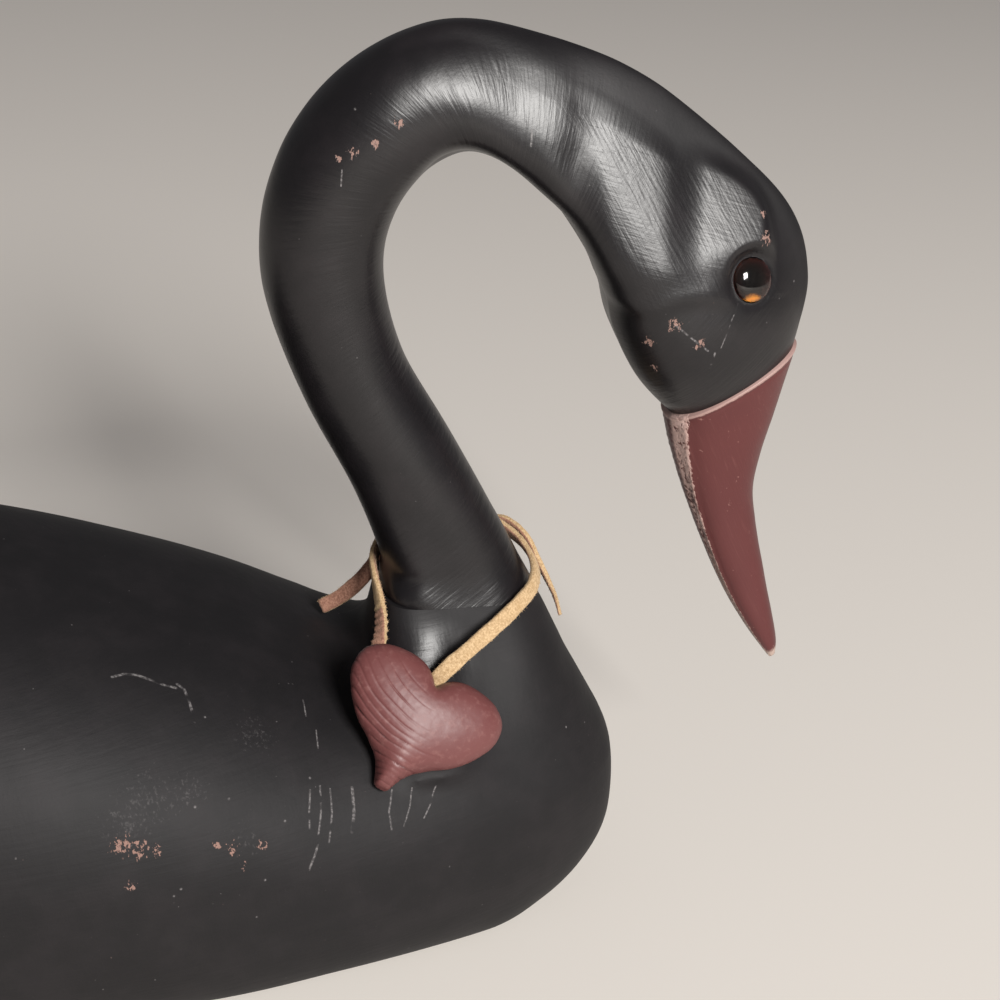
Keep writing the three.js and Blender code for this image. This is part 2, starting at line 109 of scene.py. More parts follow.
def station_values(stations, share):
    """Rows of numbers, one a station, read smoothly at shares of the way through them."""
    last = len(stations) - 1
    place = np.asarray(share, float) * last
    index = np.minimum(np.floor(place).astype(int), last)
    t = (place - index)[..., None]
    p0, p1 = stations[np.maximum(index - 1, 0)], stations[index]
    p2, p3 = stations[np.minimum(index + 1, last)], stations[np.minimum(index + 2, last)]
    v0, v1 = (p2 - p0) / 2, (p3 - p1) / 2
    return (2 * p1 - 2 * p2 + v0 + v1) * t ** 3 + (3 * p2 - 3 * p1 - 2 * v0 - v1) * t ** 2 + v0 * t + p1


def distances(points):
    """How far along a polyline each of its points lies."""
    return np.concatenate([[0], np.cumsum(np.linalg.norm(np.diff(points, axis=0), axis=1))])


def signed_power(value, power):
    return np.sign(value) * np.abs(value) ** power


def smooth_step(low, high, value):
    t = np.clip((value - low) / (high - low), 0, 1)
    return t * t * (3 - 2 * t)


def hump(value, width):
    """1 where a value is 0, falling off to both sides within about that width."""
    return np.exp(-(value / width) ** 2)


def full_turn(sides):
    return np.arange(sides) / sides * 2 * np.pi


def unit(ways):
    return ways / np.maximum(np.linalg.norm(ways, axis=-1, keepdims=True), 1e-9)


def outward_normals(points, middle=0):
    """Normals of a grid of closed rings of points, away from a middle."""
    around = np.roll(points, -1, axis=1) - np.roll(points, 1, axis=1)
    normals = unit(np.cross(around, np.gradient(points, axis=0)))
    return normals * np.sign(((points - middle) * normals).sum(-1, keepdims=True) + 1e-9)


def noise_of(points, size, seed=0.0):
    """Smooth noise between about -1 and 1 at points, with lumps of about that size."""
    flat = np.asarray(points, float).reshape(-1, 3) / size + seed
    values = np.fromiter((noise.noise(Vector(point)) for point in flat), float, len(flat))
    return values.reshape(np.shape(points)[:-1])


def mesh_object(name, points, faces):
    """A new object from points in millimetres."""
    mesh = bpy.data.meshes.new(name)
    mesh.from_pydata((np.asarray(points, float) * MM).tolist(), [], faces)
    mesh.validate()
    mesh.shade_smooth()
    made = bpy.data.objects.new(name, mesh)
    bpy.context.scene.collection.objects.link(made)
    return made


def lofted(*lofts):
    """Points and faces of closed forms, each through rings of points, with a fan over each end."""
    points, faces = [], []
    for rings in lofts:
        rows, sides = rings.shape[:2]
        first = sum(map(len, points))
        points += [rings.reshape(-1, 3), rings[:1].mean(1), rings[-1:].mean(1)]
        row = first + np.arange(rows - 1)[:, None] * sides
        side = np.arange(sides)
        beside = (side + 1) % sides
        quads = np.stack([row + side, row + beside, row + sides + beside, row + sides + side], -1)
        faces += quads.reshape(-1, 4).tolist()
        start, end, top = first + rows * sides, first + rows * sides + 1, first + (rows - 1) * sides
        for here, there in zip(side.tolist(), beside.tolist()):
            faces.append([start, first + there, first + here])
            faces.append([end, top + here, top + there])
    return np.vstack(points), faces


def capped_loft(name, rings):
    return mesh_object(name, *lofted(rings))


RIM_ANGLE = math.radians(52)


def crisp(made):
    """Smooth shading that breaks at true edges."""
    made.data.shade_smooth()
    made.data.set_sharp_from_angle(angle=RIM_ANGLE)


def attribute(made, name, values, ends=(0, 0)):
    """A number for each point of a loft, and for the middle of each end, for its material to read."""
    layer = made.data.attributes.new(name, "FLOAT", "POINT")
    layer.data.foreach_set("value", np.concatenate([np.ravel(values), ends]).astype(np.float32))


def read_rows(items, name, width, kind=float):
    """What each of a mesh's items says under a name, as rows."""
    flat = np.empty(len(items) * width, kind)
    items.foreach_get(name, flat)
    return flat.reshape(-1, width)


def points_of(made):
    return read_rows(made.data.vertices, "co", 3) / MM


def move_points(made, points):
    made.data.vertices.foreach_set("co", (points * MM).ravel())
    made.data.update()


def tree_of(made):
    """Something to find near points and hits with, in millimetres."""
    faces = [tuple(face.vertices) for face in made.data.polygons]
    return BVHTree.FromPolygons(points_of(made).tolist(), faces)


# The swan's own sizes
BODY_LENGTH, BODY_WIDTH, BODY_HEIGHT, BREAST_X = 396, 168, 119, 191
BACK_LINE = line_through([
    (0, 0.31), (0.004, 0.44), (0.02, 0.575), (0.05, 0.68), (0.1, 0.7), (0.17, 0.685), (0.215, 0.7),
    (0.25, 0.74), (0.3, 0.805), (0.38, 0.88), (0.48, 0.955), (0.58, 1), (0.7, 0.955), (0.85, 0.82), (1, 0.72),
])
KEEL_LINE = line_through([
    (0, 0.31), (0.004, 0.21), (0.015, 0.14), (0.035, 0.07), (0.06, 0.025), (0.095, 0), (0.3, 0), (0.55, 0),
    (0.8, 0), (0.88, 0.03), (0.95, 0.19), (0.985, 0.4), (1, 0.6),
])
WIDEST_HEIGHT = line_through([(0, 0.31), (0.1, 0.33), (0.3, 0.37), (0.6, 0.4), (0.85, 0.48), (1, 0.66)])
HALF_WIDTH_LINE = line_through([
    (0, 0), (0.006, 0.19), (0.022, 0.31), (0.06, 0.46), (0.12, 0.615), (0.22, 0.79), (0.34, 0.93), (0.48, 1),
    (0.63, 0.96), (0.78, 0.78), (0.9, 0.5), (0.97, 0.27), (1, 0.06),
])
UNDERSIDE_SHARE = line_through([
    (0, 0.3), (0.05, 0.42), (0.085, 0.55), (0.125, 0.61), (0.21, 0.7), (0.3, 0.78), (0.5, 0.8), (0.7, 0.76),
    (1, 0.3),
])
FLANK_SQUARENESS, BILGE_SQUARENESS, BACK_ROUNDNESS = 2.25, 2.1, 2.05


def body_point(share, turn):
    """Places on the body, by share of the way from breast to tail and turn about its length."""
    half = np.maximum(HALF_WIDTH_LINE(share), 0) * BODY_WIDTH / 2
    top = BACK_LINE(share) * BODY_HEIGHT
    keel = np.maximum(KEEL_LINE(share), 0) * BODY_HEIGHT
    widest = np.clip(WIDEST_HEIGHT(share) * BODY_HEIGHT, keel, top)
    flat = half * UNDERSIDE_SHARE(share)
    across, up = np.cos(turn), np.sin(turn)
    inwards = 1 - np.abs(across) ** (2 / BILGE_SQUARENESS)
    above = half * signed_power(across, 2 / FLANK_SQUARENESS)
    below = np.sign(across) * (half - (half - flat) * inwards)
    lifted = (top - widest) * np.maximum(up, 0) ** (2 / BACK_ROUNDNESS)
    lowered = (widest - keel) * np.abs(up) ** (2 / BILGE_SQUARENESS)
    y = np.where(up >= 0, above, below)
    z = widest + np.where(up >= 0, lifted, -lowered)
    return np.stack([BREAST_X - share * BODY_LENGTH + 0 * y, y, z], -1)


NECK_FROM_BREAST, NECK_ABOVE_BACK, NECK_RISE, NECK_THICKNESS = 49, 9, 155, 34
HEAD_DEPTH, HEAD_WIDTH = 58, 43
BILL_LENGTH, BILL_BASE_DEPTH, BILL_BASE_WIDTH, BILL_LIP = 92, 42, 30, 0.6
GLUE_GAP = 0.3
NECK_X = BREAST_X - NECK_FROM_BREAST
NECK_Z = float(BACK_LINE(NECK_FROM_BREAST / BODY_LENGTH)) * BODY_HEIGHT + NECK_ABOVE_BACK
FACE_DEPTH, FACE_WIDTH = BILL_BASE_DEPTH - 2 * BILL_LIP, BILL_BASE_WIDTH - 2 * BILL_LIP
NECK_SQUARENESS = 2.15
PLAIN = (0, NECK_SQUARENESS, 0)
# Of each station: ahead and up (shares of the neck's rise), lean, depth and width (shares of the neck's or
# the head's own), jaw share, crown number and drop
NECK_SHARES = [
    (0.037, -0.2, -6, 2.1, 2.3, *PLAIN), (0.02, -0.1, -11, 1.78, 1.85, *PLAIN),
    (-0.008, 0, -17, 1.43, 1.32, *PLAIN), (-0.03, 0.09, -20, 1.2, 1.03, *PLAIN),
    (-0.06, 0.175, -23, 1.05, 0.98, *PLAIN), (-0.135, 0.325, -28, 0.94, 0.98, *PLAIN),
    (-0.235, 0.5, -24, 0.9, 0.97, *PLAIN), (-0.292, 0.68, -7, 0.98, 1, *PLAIN),
    (-0.278, 0.83, 18, 1.02, 1.03, *PLAIN), (-0.205, 0.95, 45, 1.03, 1.03, 0.06, NECK_SQUARENESS, 0.04),
    (-0.09, 1.018, 76, 1.03, 0.99, 0.12, 2.05, 0.15),
]
HEAD_SHARES = [
    (0.03, 1.008, 105, 0.6, 0.69, 0.3, 1.85, 0.3), (0.169, 0.946, 124, 0.7, 0.71, 0.36, 1.8, 0.36),
    (0.304, 0.824, 137, 0.86, 0.9, 0.4, 1.8, 0.34), (0.385, 0.714, 146, 1.01, 1.03, 0.34, 1.8, 0.14),
    (0.434, 0.605, 149, 0.95, 0.97, 0.32, 1.85, 0),
]
NECK_STATIONS = np.vstack([
    np.array(NECK_SHARES) * (1, 1, 1, NECK_THICKNESS, NECK_THICKNESS, 1, 1, 1),
    np.array(HEAD_SHARES) * (1, 1, 1, HEAD_DEPTH, HEAD_WIDTH, 1, 1, 1),
    [(0.463, 0.506, 148, FACE_DEPTH, FACE_WIDTH, 0.16, NECK_SQUARENESS, 0)],
])
SEAT_Z = NECK_Z + 0.075 * NECK_RISE


def neck_frame(share):
    """The neck's middle, and the ways along it and to its back."""
    ahead, up, lean, *_ = np.moveaxis(station_values(NECK_STATIONS, share), -1, 0)
    sine, cosine = np.sin(np.radians(lean)), np.cos(np.radians(lean))
    nought = 0 * lean
    middle = np.stack([NECK_X + ahead * NECK_RISE, nought, NECK_Z + up * NECK_RISE], -1)
    return middle, np.stack([sine, nought, cosine], -1), np.stack([-cosine, nought, sine], -1)


def neck_point(share, turn):
    """Places on the neck and head, by share of the way from foot to face and turn, 90 being its back."""
    share, turn = np.broadcast_arrays(np.asarray(share, float), np.asarray(turn, float))
    middle, _, backwards = neck_frame(share)
    _, _, _, depth, width, jaw, crown, drop = np.moveaxis(station_values(NECK_STATIONS, share), -1, 0)
    squareness = np.where(np.sin(turn) > 0, crown, NECK_SQUARENESS)
    up = signed_power(np.sin(turn), 2 / squareness)
    across = signed_power(np.cos(turn), 2 / squareness) * (1 - jaw * up)
    points = middle + backwards * (depth / 2 * (up - drop * (1 - up ** 2)))[..., None]
    points[..., 1] = width / 2 * across
    return points


BILL_TOP_LINE = line_through([
    (0, 0.5), (0.09, 0.345), (0.17, 0.21), (0.28, 0.02), (0.39, -0.125), (0.5, -0.19), (0.73, -0.28),
    (0.95, -0.36), (1, -0.4),
])
BILL_LOWER_LINE = line_through([
    (0, -0.51), (0.13, -0.555), (0.32, -0.588), (0.65, -0.59), (0.85, -0.54), (1, -0.47),
])
BILL_WIDTH_LINE = line_through([
    (0, 1), (0.12, 0.82), (0.3, 0.64), (0.55, 0.51), (0.85, 0.41), (0.96, 0.33), (1, 0.23),
])
BILL_SQUARENESS, BILL_JAW, BILL_TURN = 2.3, 0.14, math.radians(6)
FACE_MIDDLE, FACE_ALONG, FACE_BACKWARDS = neck_frame(1.0)
TURN_BILL = np.array(Matrix.Rotation(BILL_TURN, 3, "Y"))
BILL_ALONG, BILL_BACKWARDS = TURN_BILL @ FACE_ALONG, TURN_BILL @ FACE_BACKWARDS


def bill_point(share, turn):
    """Places on the bill, by share of the way from its base to its tip and turn, 90 being its top."""
    top, low = BILL_TOP_LINE(share) * BILL_BASE_DEPTH, BILL_LOWER_LINE(share) * BILL_BASE_DEPTH
    up = signed_power(np.sin(turn), 2 / BILL_SQUARENESS)
    across = signed_power(np.cos(turn), 2 / BILL_SQUARENESS) * (1 - BILL_JAW * up)
    back = (top + low) / 2 + (top - low) / 2 * up
    ahead = share * BILL_LENGTH - math.tan(BILL_TURN) * back * (1 - share)
    base = FACE_MIDDLE + FACE_ALONG * GLUE_GAP
    points = base + ahead[..., None] * BILL_ALONG + back[..., None] * BILL_BACKWARDS
    points[..., 1] = BILL_WIDTH_LINE(share) * BILL_BASE_WIDTH / 2 * across
    return points


EYE_DIAMETER, EYE_DOME, EYE_SEAT_DEPTH = 12, 2.6, 3
EYE_ALONG, EYE_TURN, TANGENT_STEP = 0.89, math.radians(28), 0.01


def eye_axes(side):
    """An eye's place on the head, and a matrix of its ways across, up and out."""
    turn = EYE_TURN if side == LEFT else math.pi - EYE_TURN
    ahead = neck_point(EYE_ALONG + TANGENT_STEP, turn) - neck_point(EYE_ALONG - TANGENT_STEP, turn)
    round_head = neck_point(EYE_ALONG, turn + TANGENT_STEP) - neck_point(EYE_ALONG, turn - TANGENT_STEP)
    out = unit(np.cross(ahead, round_head))
    out *= np.sign(out[1] * side)
    level = unit(np.cross((0, 0, 1), out))
    return neck_point(EYE_ALONG, turn), np.stack([level, np.cross(out, level), out], -1)


HEART_WIDTH, HEART_HEIGHT, HEART_THICKNESS, HOLE_RADIUS = 47, 37.5, 12.5, 2.6
HEART_ON_BODY = (0.1686, math.radians(120.5))
HEART_STAND_OFF, HEART_MIDDLE_SHARE, HEART_FRONT_SHARE, HEART_FULLNESS = 12.3, 0.63, 0.68, 2.6
HEART_OUTLINE = centripetal([
    (0, 0.86), (0.09, 0.93), (0.25, 0.99), (0.52, 1), (0.8, 0.955), (0.97, 0.845), (0.985, 0.7),
    (0.87, 0.545), (0.66, 0.395), (0.41, 0.285), (0.22, 0.18), (0.13, 0.08), (0.08, 0.01), (0, 0),
])
HOLE_IN, HOLE_OUT = (0.013, 0.36, 0.05), (-0.04, -0.027, -0.41)
HEART_AXES = facing(math.radians(8), math.radians(33), math.radians(-33))
HEART_ORIGIN = body_point(*HEART_ON_BODY) + HEART_AXES[:, 2] * HEART_STAND_OFF

# Suede lace: from its cut end on the back, round the neck, down through the heart's notch, up behind it,
# round the neck again and down to its pointed end at the breast
LACE_ROUTE = [
    (100.8, 12.5, 87), (106.5, 11, 91.5), (112.5, 10.5, 98), (118, 14, 104), (124, 20, 107.5),
    (131, 24.6, 109.9), (139, 24.8, 114), (146.6, 19.8, 116.3), (152, 14, 115), (158.3, 7.5, 112.8),
    (161.8, -0.8, 109.6), (160.8, -9.5, 106.9), (154, -19, 103.6), (143.5, -27.8, 98.2), (132.7, -35.9, 92.3),
    (129.3, -36.7, 88.2), (126, -37.6, 84), (123, -38.4, 80.2), (118.8, -38.7, 77.3), (114, -38.4, 77.8),
    (110.7, -36.8, 80.8), (110, -34.1, 84.8), (111.7, -31, 88.6), (113, -29.5, 90.5), (115.6, -22.5, 96.8),
    (115.8, -14.5, 102), (114.6, -5, 107), (114.8, 3, 108.5), (117.8, 11.5, 110.2), (123, 18.5, 112.2),
    (131, 20.8, 112.2), (139, 21.4, 110.6), (147.4, 21, 111.5), (155, 17, 114), (160.5, 12, 111.8),
    (164, 9, 106.5), (167.8, 8.8, 99.5), (171.2, 10, 92.5), (173.6, 11, 85.5),
]
LACE_WIDTH, LACE_THICKNESS, LACE_SIDES, LACE_SPACING, LACE_SQUARENESS = 4.6, 2.0, 24, 0.8, 3.4
# The left tail stands on its edge and shows its flat to the right side of the swan
TAIL_FACING = np.array([-0.25, -0.85, 0.45])
FACING_ROUNDS = 14


def evenly(points, spacing):
    """A polyline's points again, at even distances, with how far along each lies."""
    far = distances(points)
    even = np.linspace(0, far[-1], int(round(far[-1] / spacing)) + 1)
    return np.stack([np.interp(even, far, points[:, axis]) for axis in range(3)], -1), even


def lace_ways():
    """The ways along, across and out of the lace; its flat lies on the neck and body."""
    trees = [tree_of(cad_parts[name]) for name in ("body", "neck_and_head")]
    found = [[tree.find_nearest(Vector(point)) for tree in trees] for point in lace_line]
    out = unit(lace_line - np.array([min(near, key=lambda one: one[3])[0] for near in found]))
    tail = 1 - smooth_step(2.6, 4.4, lace_index)[:, None]
    out = out * (1 - tail) + TAIL_FACING * tail
    for _ in range(FACING_ROUNDS):
        padded = np.vstack([out[:1], out, out[-1:]])
        out = out / 2 + (padded[:-2] + padded[2:]) / 4
    along = unit(np.gradient(lace_line, axis=0))
    out = unit(out - along * (out * along).sum(1, keepdims=True))
    return along, np.cross(along, out), out


def between(low, full, full_end, end):
    """1 between two points of the lace's route, softly, and 0 elsewhere."""
    return smooth_step(low, full, lace_index) * (1 - smooth_step(full_end, end, lace_index))


lace_line, lace_far = evenly(centripetal(LACE_ROUTE), LACE_SPACING)
route_far = distances(np.array(LACE_ROUTE))
lace_index = np.interp(lace_far, route_far * lace_far[-1] / route_far[-1], np.arange(len(LACE_ROUTE)))
lace_along, lace_across, lace_out = lace_ways()
# Of each point round the lace, how far it faces sideways and outwards, from -1 to 1
LACE_TURN = full_turn(LACE_SIDES)
LACE_SIDEWAYS = signed_power(np.cos(LACE_TURN), 2 / LACE_SQUARENESS)
LACE_OUTWARDS = signed_power(np.sin(LACE_TURN), 2 / LACE_SQUARENESS)


def lace_rings():
    """The lace's rings: one end tapers to a point and the other is cut square."""
    taper = smooth_step(0, 24, lace_far[-1] - lace_far)
    wavy = 1 + 0.07 * noise_of(np.stack([lace_far, 0 * lace_far, 0 * lace_far], -1), 5.0, 3.7)
    half = LACE_WIDTH / 2 * (0.2 + 0.8 * taper) * wavy
    thick = LACE_THICKNESS / 2 * (0.55 + 0.45 * taper)
    rings = (
        lace_line[:, None]
        + lace_across[:, None] * (half[:, None] * LACE_SIDEWAYS)[..., None]
        + lace_out[:, None] * (thick[:, None] * LACE_OUTWARDS)[..., None]
    )
    # Creases across the strand behind the heart, and the nap's unevenness everywhere
    creased = np.cos(lace_far * 2 * np.pi / 2.3) * between(21.6, 22.4, 24.6, 25.4)
    relief = 0.34 * creased[:, None] * LACE_OUTWARDS
    relief = relief + 0.1 * noise_of(rings, 0.9) + 0.07 * noise_of(rings, 2.6, 9.1)
    outwards = lace_across[:, None] * LACE_SIDEWAYS[:, None] + lace_out[:, None] * LACE_OUTWARDS[:, None]
    return rings + outwards * relief[..., None]


def brown_side():
    """How much each point of the lace shows its brown grain side in place of its tan nap."""
    tail = 1 - smooth_step(3.2, 4.2, lace_index)
    shown = np.maximum(tail, between(21.2, 22.2, 24.4, 25.2))[:, None]
    outer, inner = smooth_step(0.25, 0.7, LACE_OUTWARDS), smooth_step(0.25, 0.7, -LACE_OUTWARDS)
    return outer * shown + inner * (1 - shown)


lace_points = lace_rings()
lace = capped_loft("lace", lace_points)
attribute(lace, "brown", brown_side())

FIBRE_COUNT = 5200


def lace_fibres():
    """Short fibres that stand out of the lace's edges and cut ends."""
    random = np.random.default_rng(7)
    outwards = outward_normals(lace_points, lace_line[:, None])
    edge = np.abs(LACE_SIDEWAYS) ** 3 + 0.12
    side = random.choice(LACE_SIDES, FIBRE_COUNT, p=edge / edge.sum())
    row = random.integers(0, len(lace_line), FIBRE_COUNT)
    root, way, along = lace_points[row, side], outwards[row, side], lace_along[row]
    lean = along * random.normal(0, 0.7, (FIBRE_COUNT, 1)) + random.normal(0, 0.35, (FIBRE_COUNT, 3))
    length = random.uniform(0.18, 0.62, (FIBRE_COUNT, 1))
    middle = root + (way + lean * 0.4) * length * 0.5
    tip = root + (way * 0.75 + lean) * length
    across = (unit(np.cross(way, along)) + along * 0.6) * random.uniform(0.03, 0.055, (FIBRE_COUNT, 1))
    root = root - way * 0.1
    corners = [root - across, root + across, middle + across * 0.7, middle - across * 0.7, tip]
    base = np.arange(FIBRE_COUNT)[:, None] * len(corners)
    faces = (base + (0, 1, 2, 3)).tolist() + (base + (3, 2, 4)).tolist()
    return mesh_object("lace_nap", np.stack(corners, 1).reshape(-1, 3), faces)


nap = lace_fibres()

# Body
BODY_ROWS, BODY_SIDES = 280, 100
STATION_BUNCHING, BREAST_TIP_SHARE = 0.85, 0.0008
VOXEL = 1.5
FILLET_REACH, FILLET_ROUNDS = 15, 220
# The neck's root flares down each flank of the body from the seat: a third form in the carved union
ROOT_X, ROOT_TOP, ROOT_FOOT, ROOT_HALF_LENGTH, ROOT_HALF_WIDTH = 130.5, 106, 66, 14.5, 18.7
ROOT_SQUARENESS, ROOT_TAPER, ROOT_SHOULDER, ROOT_FILLET_REACH, ROOT_FILLET_ROUNDS = 3, 0.004, 1.2, 6, 50


def hull_rings():
    even = np.linspace(0, 1, BODY_ROWS)
    bunched = (1 - np.cos(np.pi * even)) / 2
    share = np.maximum(even + (bunched - even) * STATION_BUNCHING, BREAST_TIP_SHARE)[::-1, None]
    left = body_point(share, np.linspace(-0.5, 0.5, BODY_SIDES + 1) * np.pi)
    return np.concatenate([left, left[:, BODY_SIDES - 1::-1] * (1, -1, 1)], 1)


def boss_rings():
    return neck_point(np.linspace(0, 0.27, 70)[:, None], full_turn(140))


def root_rings():
    down = np.linspace(ROOT_TOP - ROOT_FOOT, 0, 60)[:, None]
    turn = full_turn(120)
    wide = ROOT_HALF_WIDTH + 0.35 * down + 0.012 * down ** 2
    long = ROOT_HALF_LENGTH + 0.12 * down
    ahead = long * signed_power(np.cos(turn), 2 / ROOT_SQUARENESS)
    across = wide * signed_power(np.sin(turn), 2 / ROOT_SQUARENESS) * (1 - ROOT_TAPER * ahead)
    return np.stack([ROOT_X + ahead, across, ROOT_TOP - down + 0 * turn], -1)


def applied(made):
    """An object with its modifiers made real."""
    graph = bpy.context.evaluated_depsgraph_get()
    mesh = bpy.data.meshes.new_from_object(made.evaluated_get(graph))
    made.modifiers.clear()
    made.data = mesh
    return made


def remeshed(made, size):
    """The union of an object's closed parts as an even mesh."""
    modifier = made.modifiers.new("even", "REMESH")
    modifier.mode = "VOXEL"
    modifier.voxel_size = size * MM
    modifier.adaptivity = 0
    return applied(made)


def laplacian(points, edges, weight, rounds):
    """Points drawn towards their neighbours, by each one's own weight."""
    count = len(points)
    degree = np.maximum(np.bincount(edges.ravel(), minlength=count), 1)[:, None]
    here, there = edges.T
    for _ in range(rounds):
        total = np.stack([
            np.bincount(here, points[there, axis], count) + np.bincount(there, points[here, axis], count)
            for axis in range(3)
        ], -1)
        points = points + (total / degree - points) * weight[:, None]
    return points


def make_body():
    lofts = [hull_rings(), boss_rings(), root_rings()]
    trees = [BVHTree.FromPolygons(points.tolist(), faces) for points, faces in map(lofted, lofts)]
    made = remeshed(mesh_object("carved_body", *lofted(*lofts)), VOXEL)
    found = [[tree.find_nearest(Vector(point)) for tree in trees] for point in points_of(made)]
    snapped = np.array([min(near, key=lambda one: one[3])[0] for near in found])
    far = np.array([[one[3] for one in near] for near in found])
    edges = read_rows(made.data.edges, "vertices", 2, int)
    on_root = smooth_step(3, 0, far[:, 2])
    wide = smooth_step(0, 1, 1 - far[:, :2].max(1) / FILLET_REACH) * 0.6 * (1 - on_root)
    close = smooth_step(0, 1, 1 - np.sort(far, 1)[:, 1] / ROOT_FILLET_REACH) * 0.6
    points = laplacian(snapped, edges, wide, FILLET_ROUNDS)
    points = laplacian(points, edges, close, ROOT_FILLET_ROUNDS)
    points[:, 2] = np.maximum(points[:, 2], 0)
    move_points(made, points)
    return made


def hand_carved(points):
    """How far hand carving leaves a surface off its true form."""
    broad = 0.17 * noise_of(points, 34.0, 2.3) + 0.08 * noise_of(points, 12.0, 5.9)
    return (broad + 0.025 * noise_of(points, 4.2, 7.7)) * smooth_step(0, 9, np.abs(points[..., 2] - SEAT_Z))


# The soft ridge that runs down the neck's foot on to the body, on each side: its line, reach and height
ROOT_RIDGE_X, ROOT_RIDGE_LEAN, ROOT_RIDGE_WIDTH, ROOT_RIDGE_HEIGHT = 130, 0.5, 6.5, 1.9
ROOT_HOLLOW_AHEAD, ROOT_HOLLOW_WIDTH, ROOT_HOLLOW_DEPTH = 17, 9, 0.9


def root_ridge(points, share=1):
    """How far the foot's side ridge stands out sideways, with the hollow in front of it."""
    x, y, z = np.moveaxis(points, -1, 0)
    line = ROOT_RIDGE_X - ROOT_RIDGE_LEAN * np.maximum(z - 100, 0)
    there = smooth_step(74, 88, z) * (1 - smooth_step(112, 146, z)) * smooth_step(5, 13, np.abs(y))
    ridge = ROOT_RIDGE_HEIGHT * hump(x - line, ROOT_RIDGE_WIDTH)
    hollow = ROOT_HOLLOW_DEPTH * hump(x - line - ROOT_HOLLOW_AHEAD, ROOT_HOLLOW_WIDTH)
    return (ridge * share - hollow) * there * np.sign(y)


def sliced(made, height, outwards, near=lambda place: True):
    """An object cut off flat at a height, without what lies above it (1) or below it (-1) near a place."""
    shape = bmesh.new()
    shape.from_mesh(made.data)
    faces = [face for face in shape.faces if near(face.calc_center_median() / MM)]
    parts = dict.fromkeys(part for face in faces for part in (*face.verts, *face.edges, face))
    bmesh.ops.bisect_plane(
        shape, geom=list(parts), dist=1e-7, plane_co=(0, 0, height * MM), plane_no=(0, 0, outwards),
        clear_outer=True,
    )
    bmesh.ops.holes_fill(shape, edges=[edge for edge in shape.edges if edge.is_boundary], sides=0)
    bmesh.ops.recalc_face_normals(shape, faces=shape.faces)
    shape.to_mesh(made.data)
    shape.free()
    crisp(made)


# The boss above the body's seat is cut off where the neck is glued on
BODY_SEAT_Z, BOSS_X, BOSS_REACH, BOSS_FOOT = SEAT_Z - GLUE_GAP, NECK_X - 8, 34, 6


def carve_body(made):
    """Hand carving on the body, with its root ridge and rounded shoulder."""
    points = points_of(made)
    clear_of_floor = smooth_step(0.5, 9, points[:, 2])
    points[:, 1] += root_ridge(points, 0.3)
    shoulder = ROOT_SHOULDER * smooth_step(SEAT_Z - 6, SEAT_Z + 1, points[:, 2])
    points[:, 1] -= shoulder * hump(points[:, 0] - ROOT_X, 13) * np.sign(points[:, 1])
    normals = read_rows(made.data.vertices, "normal", 3)
    points += normals * (hand_carved(points) * clear_of_floor)[:, None]
    points[:, 2] = np.maximum(points[:, 2], 0)
    move_points(made, points)


body = make_body()
carve_body(body)
sliced(body, BODY_SEAT_Z, 1, lambda place: (
    abs(place.x - BOSS_X) < BOSS_REACH and abs(place.y) < BOSS_REACH and place.z > BODY_SEAT_Z - BOSS_FOOT
))
body_tree = tree_of(body)

# Neck and head
NECK_ROWS, NECK_SIDES, NECK_FROM_SHARE = 440, 190, 0.14
SEAM = 0.06
# The head's carved lines in side view, as places ahead and up; both sides have them
CROWN_EDGE = [(156.7, 249.3), (169, 244.3), (179.2, 238.5), (187.6, 233.6), (194.8, 233.4), (207.1, 228),
              (213.7, 220.6), (219.5, 210.1), (224, 199), (231, 183)]
NAPE_EDGE = [(153, 249), (161.2, 243.1), (164.4, 240.2), (168.1, 230.5), (170.3, 214.7), (172.8, 206.7),
             (178.5, 197.2), (185, 187), (208, 152)]
CHEEK_FOOT = [(135, 204), (178.5, 197.2), (183.4, 196.6), (191.2, 199.2), (197, 200.1), (205.8, 199.6)]
# How far each plane of the cheek is turned to face sideways: its slope, pivot, and borders ahead and up
REAR_PLANE = (0.075, 172, 154, 168, 184, 198, 198, 208)
FRONT_PLANE = (0.165, 192.5, 186, 199, 213, 221, 200, 214)
# The flanks of the arch and head stand off the smooth form by this much at places ahead
ARCH_SWELL = line_through([
    (100, 0), (110, -0.2), (118, -0.9), (126, -1.5), (134, -1.1), (144, -0.15), (154, 0.75), (162, 0.85),
    (184, 0.8), (200, 0.3), (212, 0.05), (226, 0),
])
EYE_RIM = EYE_DIAMETER / 2 + 1


def side_distance(points, line):
    """Distance in side view from a line, positive to its right hand, going along it."""
    dense = centripetal(line, 16)
    flat = points[..., [0, 2]].reshape(-1, 2)
    best = np.full(len(flat), np.inf)
    signed = np.zeros(len(flat))
    for origin, way in zip(dense[:-1], np.diff(dense, axis=0)):
        t = np.clip(((flat - origin) @ way) / (way @ way), 0, 1)
        gap = flat - origin - t[:, None] * way
        far = np.linalg.norm(gap, axis=1)
        nearer = far < best
        left_hand = way[0] * gap[:, 1] - way[1] * gap[:, 0] > 0
        best = np.where(nearer, far, best)
        signed = np.where(nearer, np.where(left_hand, -far, far), signed)
    return signed.reshape(points.shape[:-1])


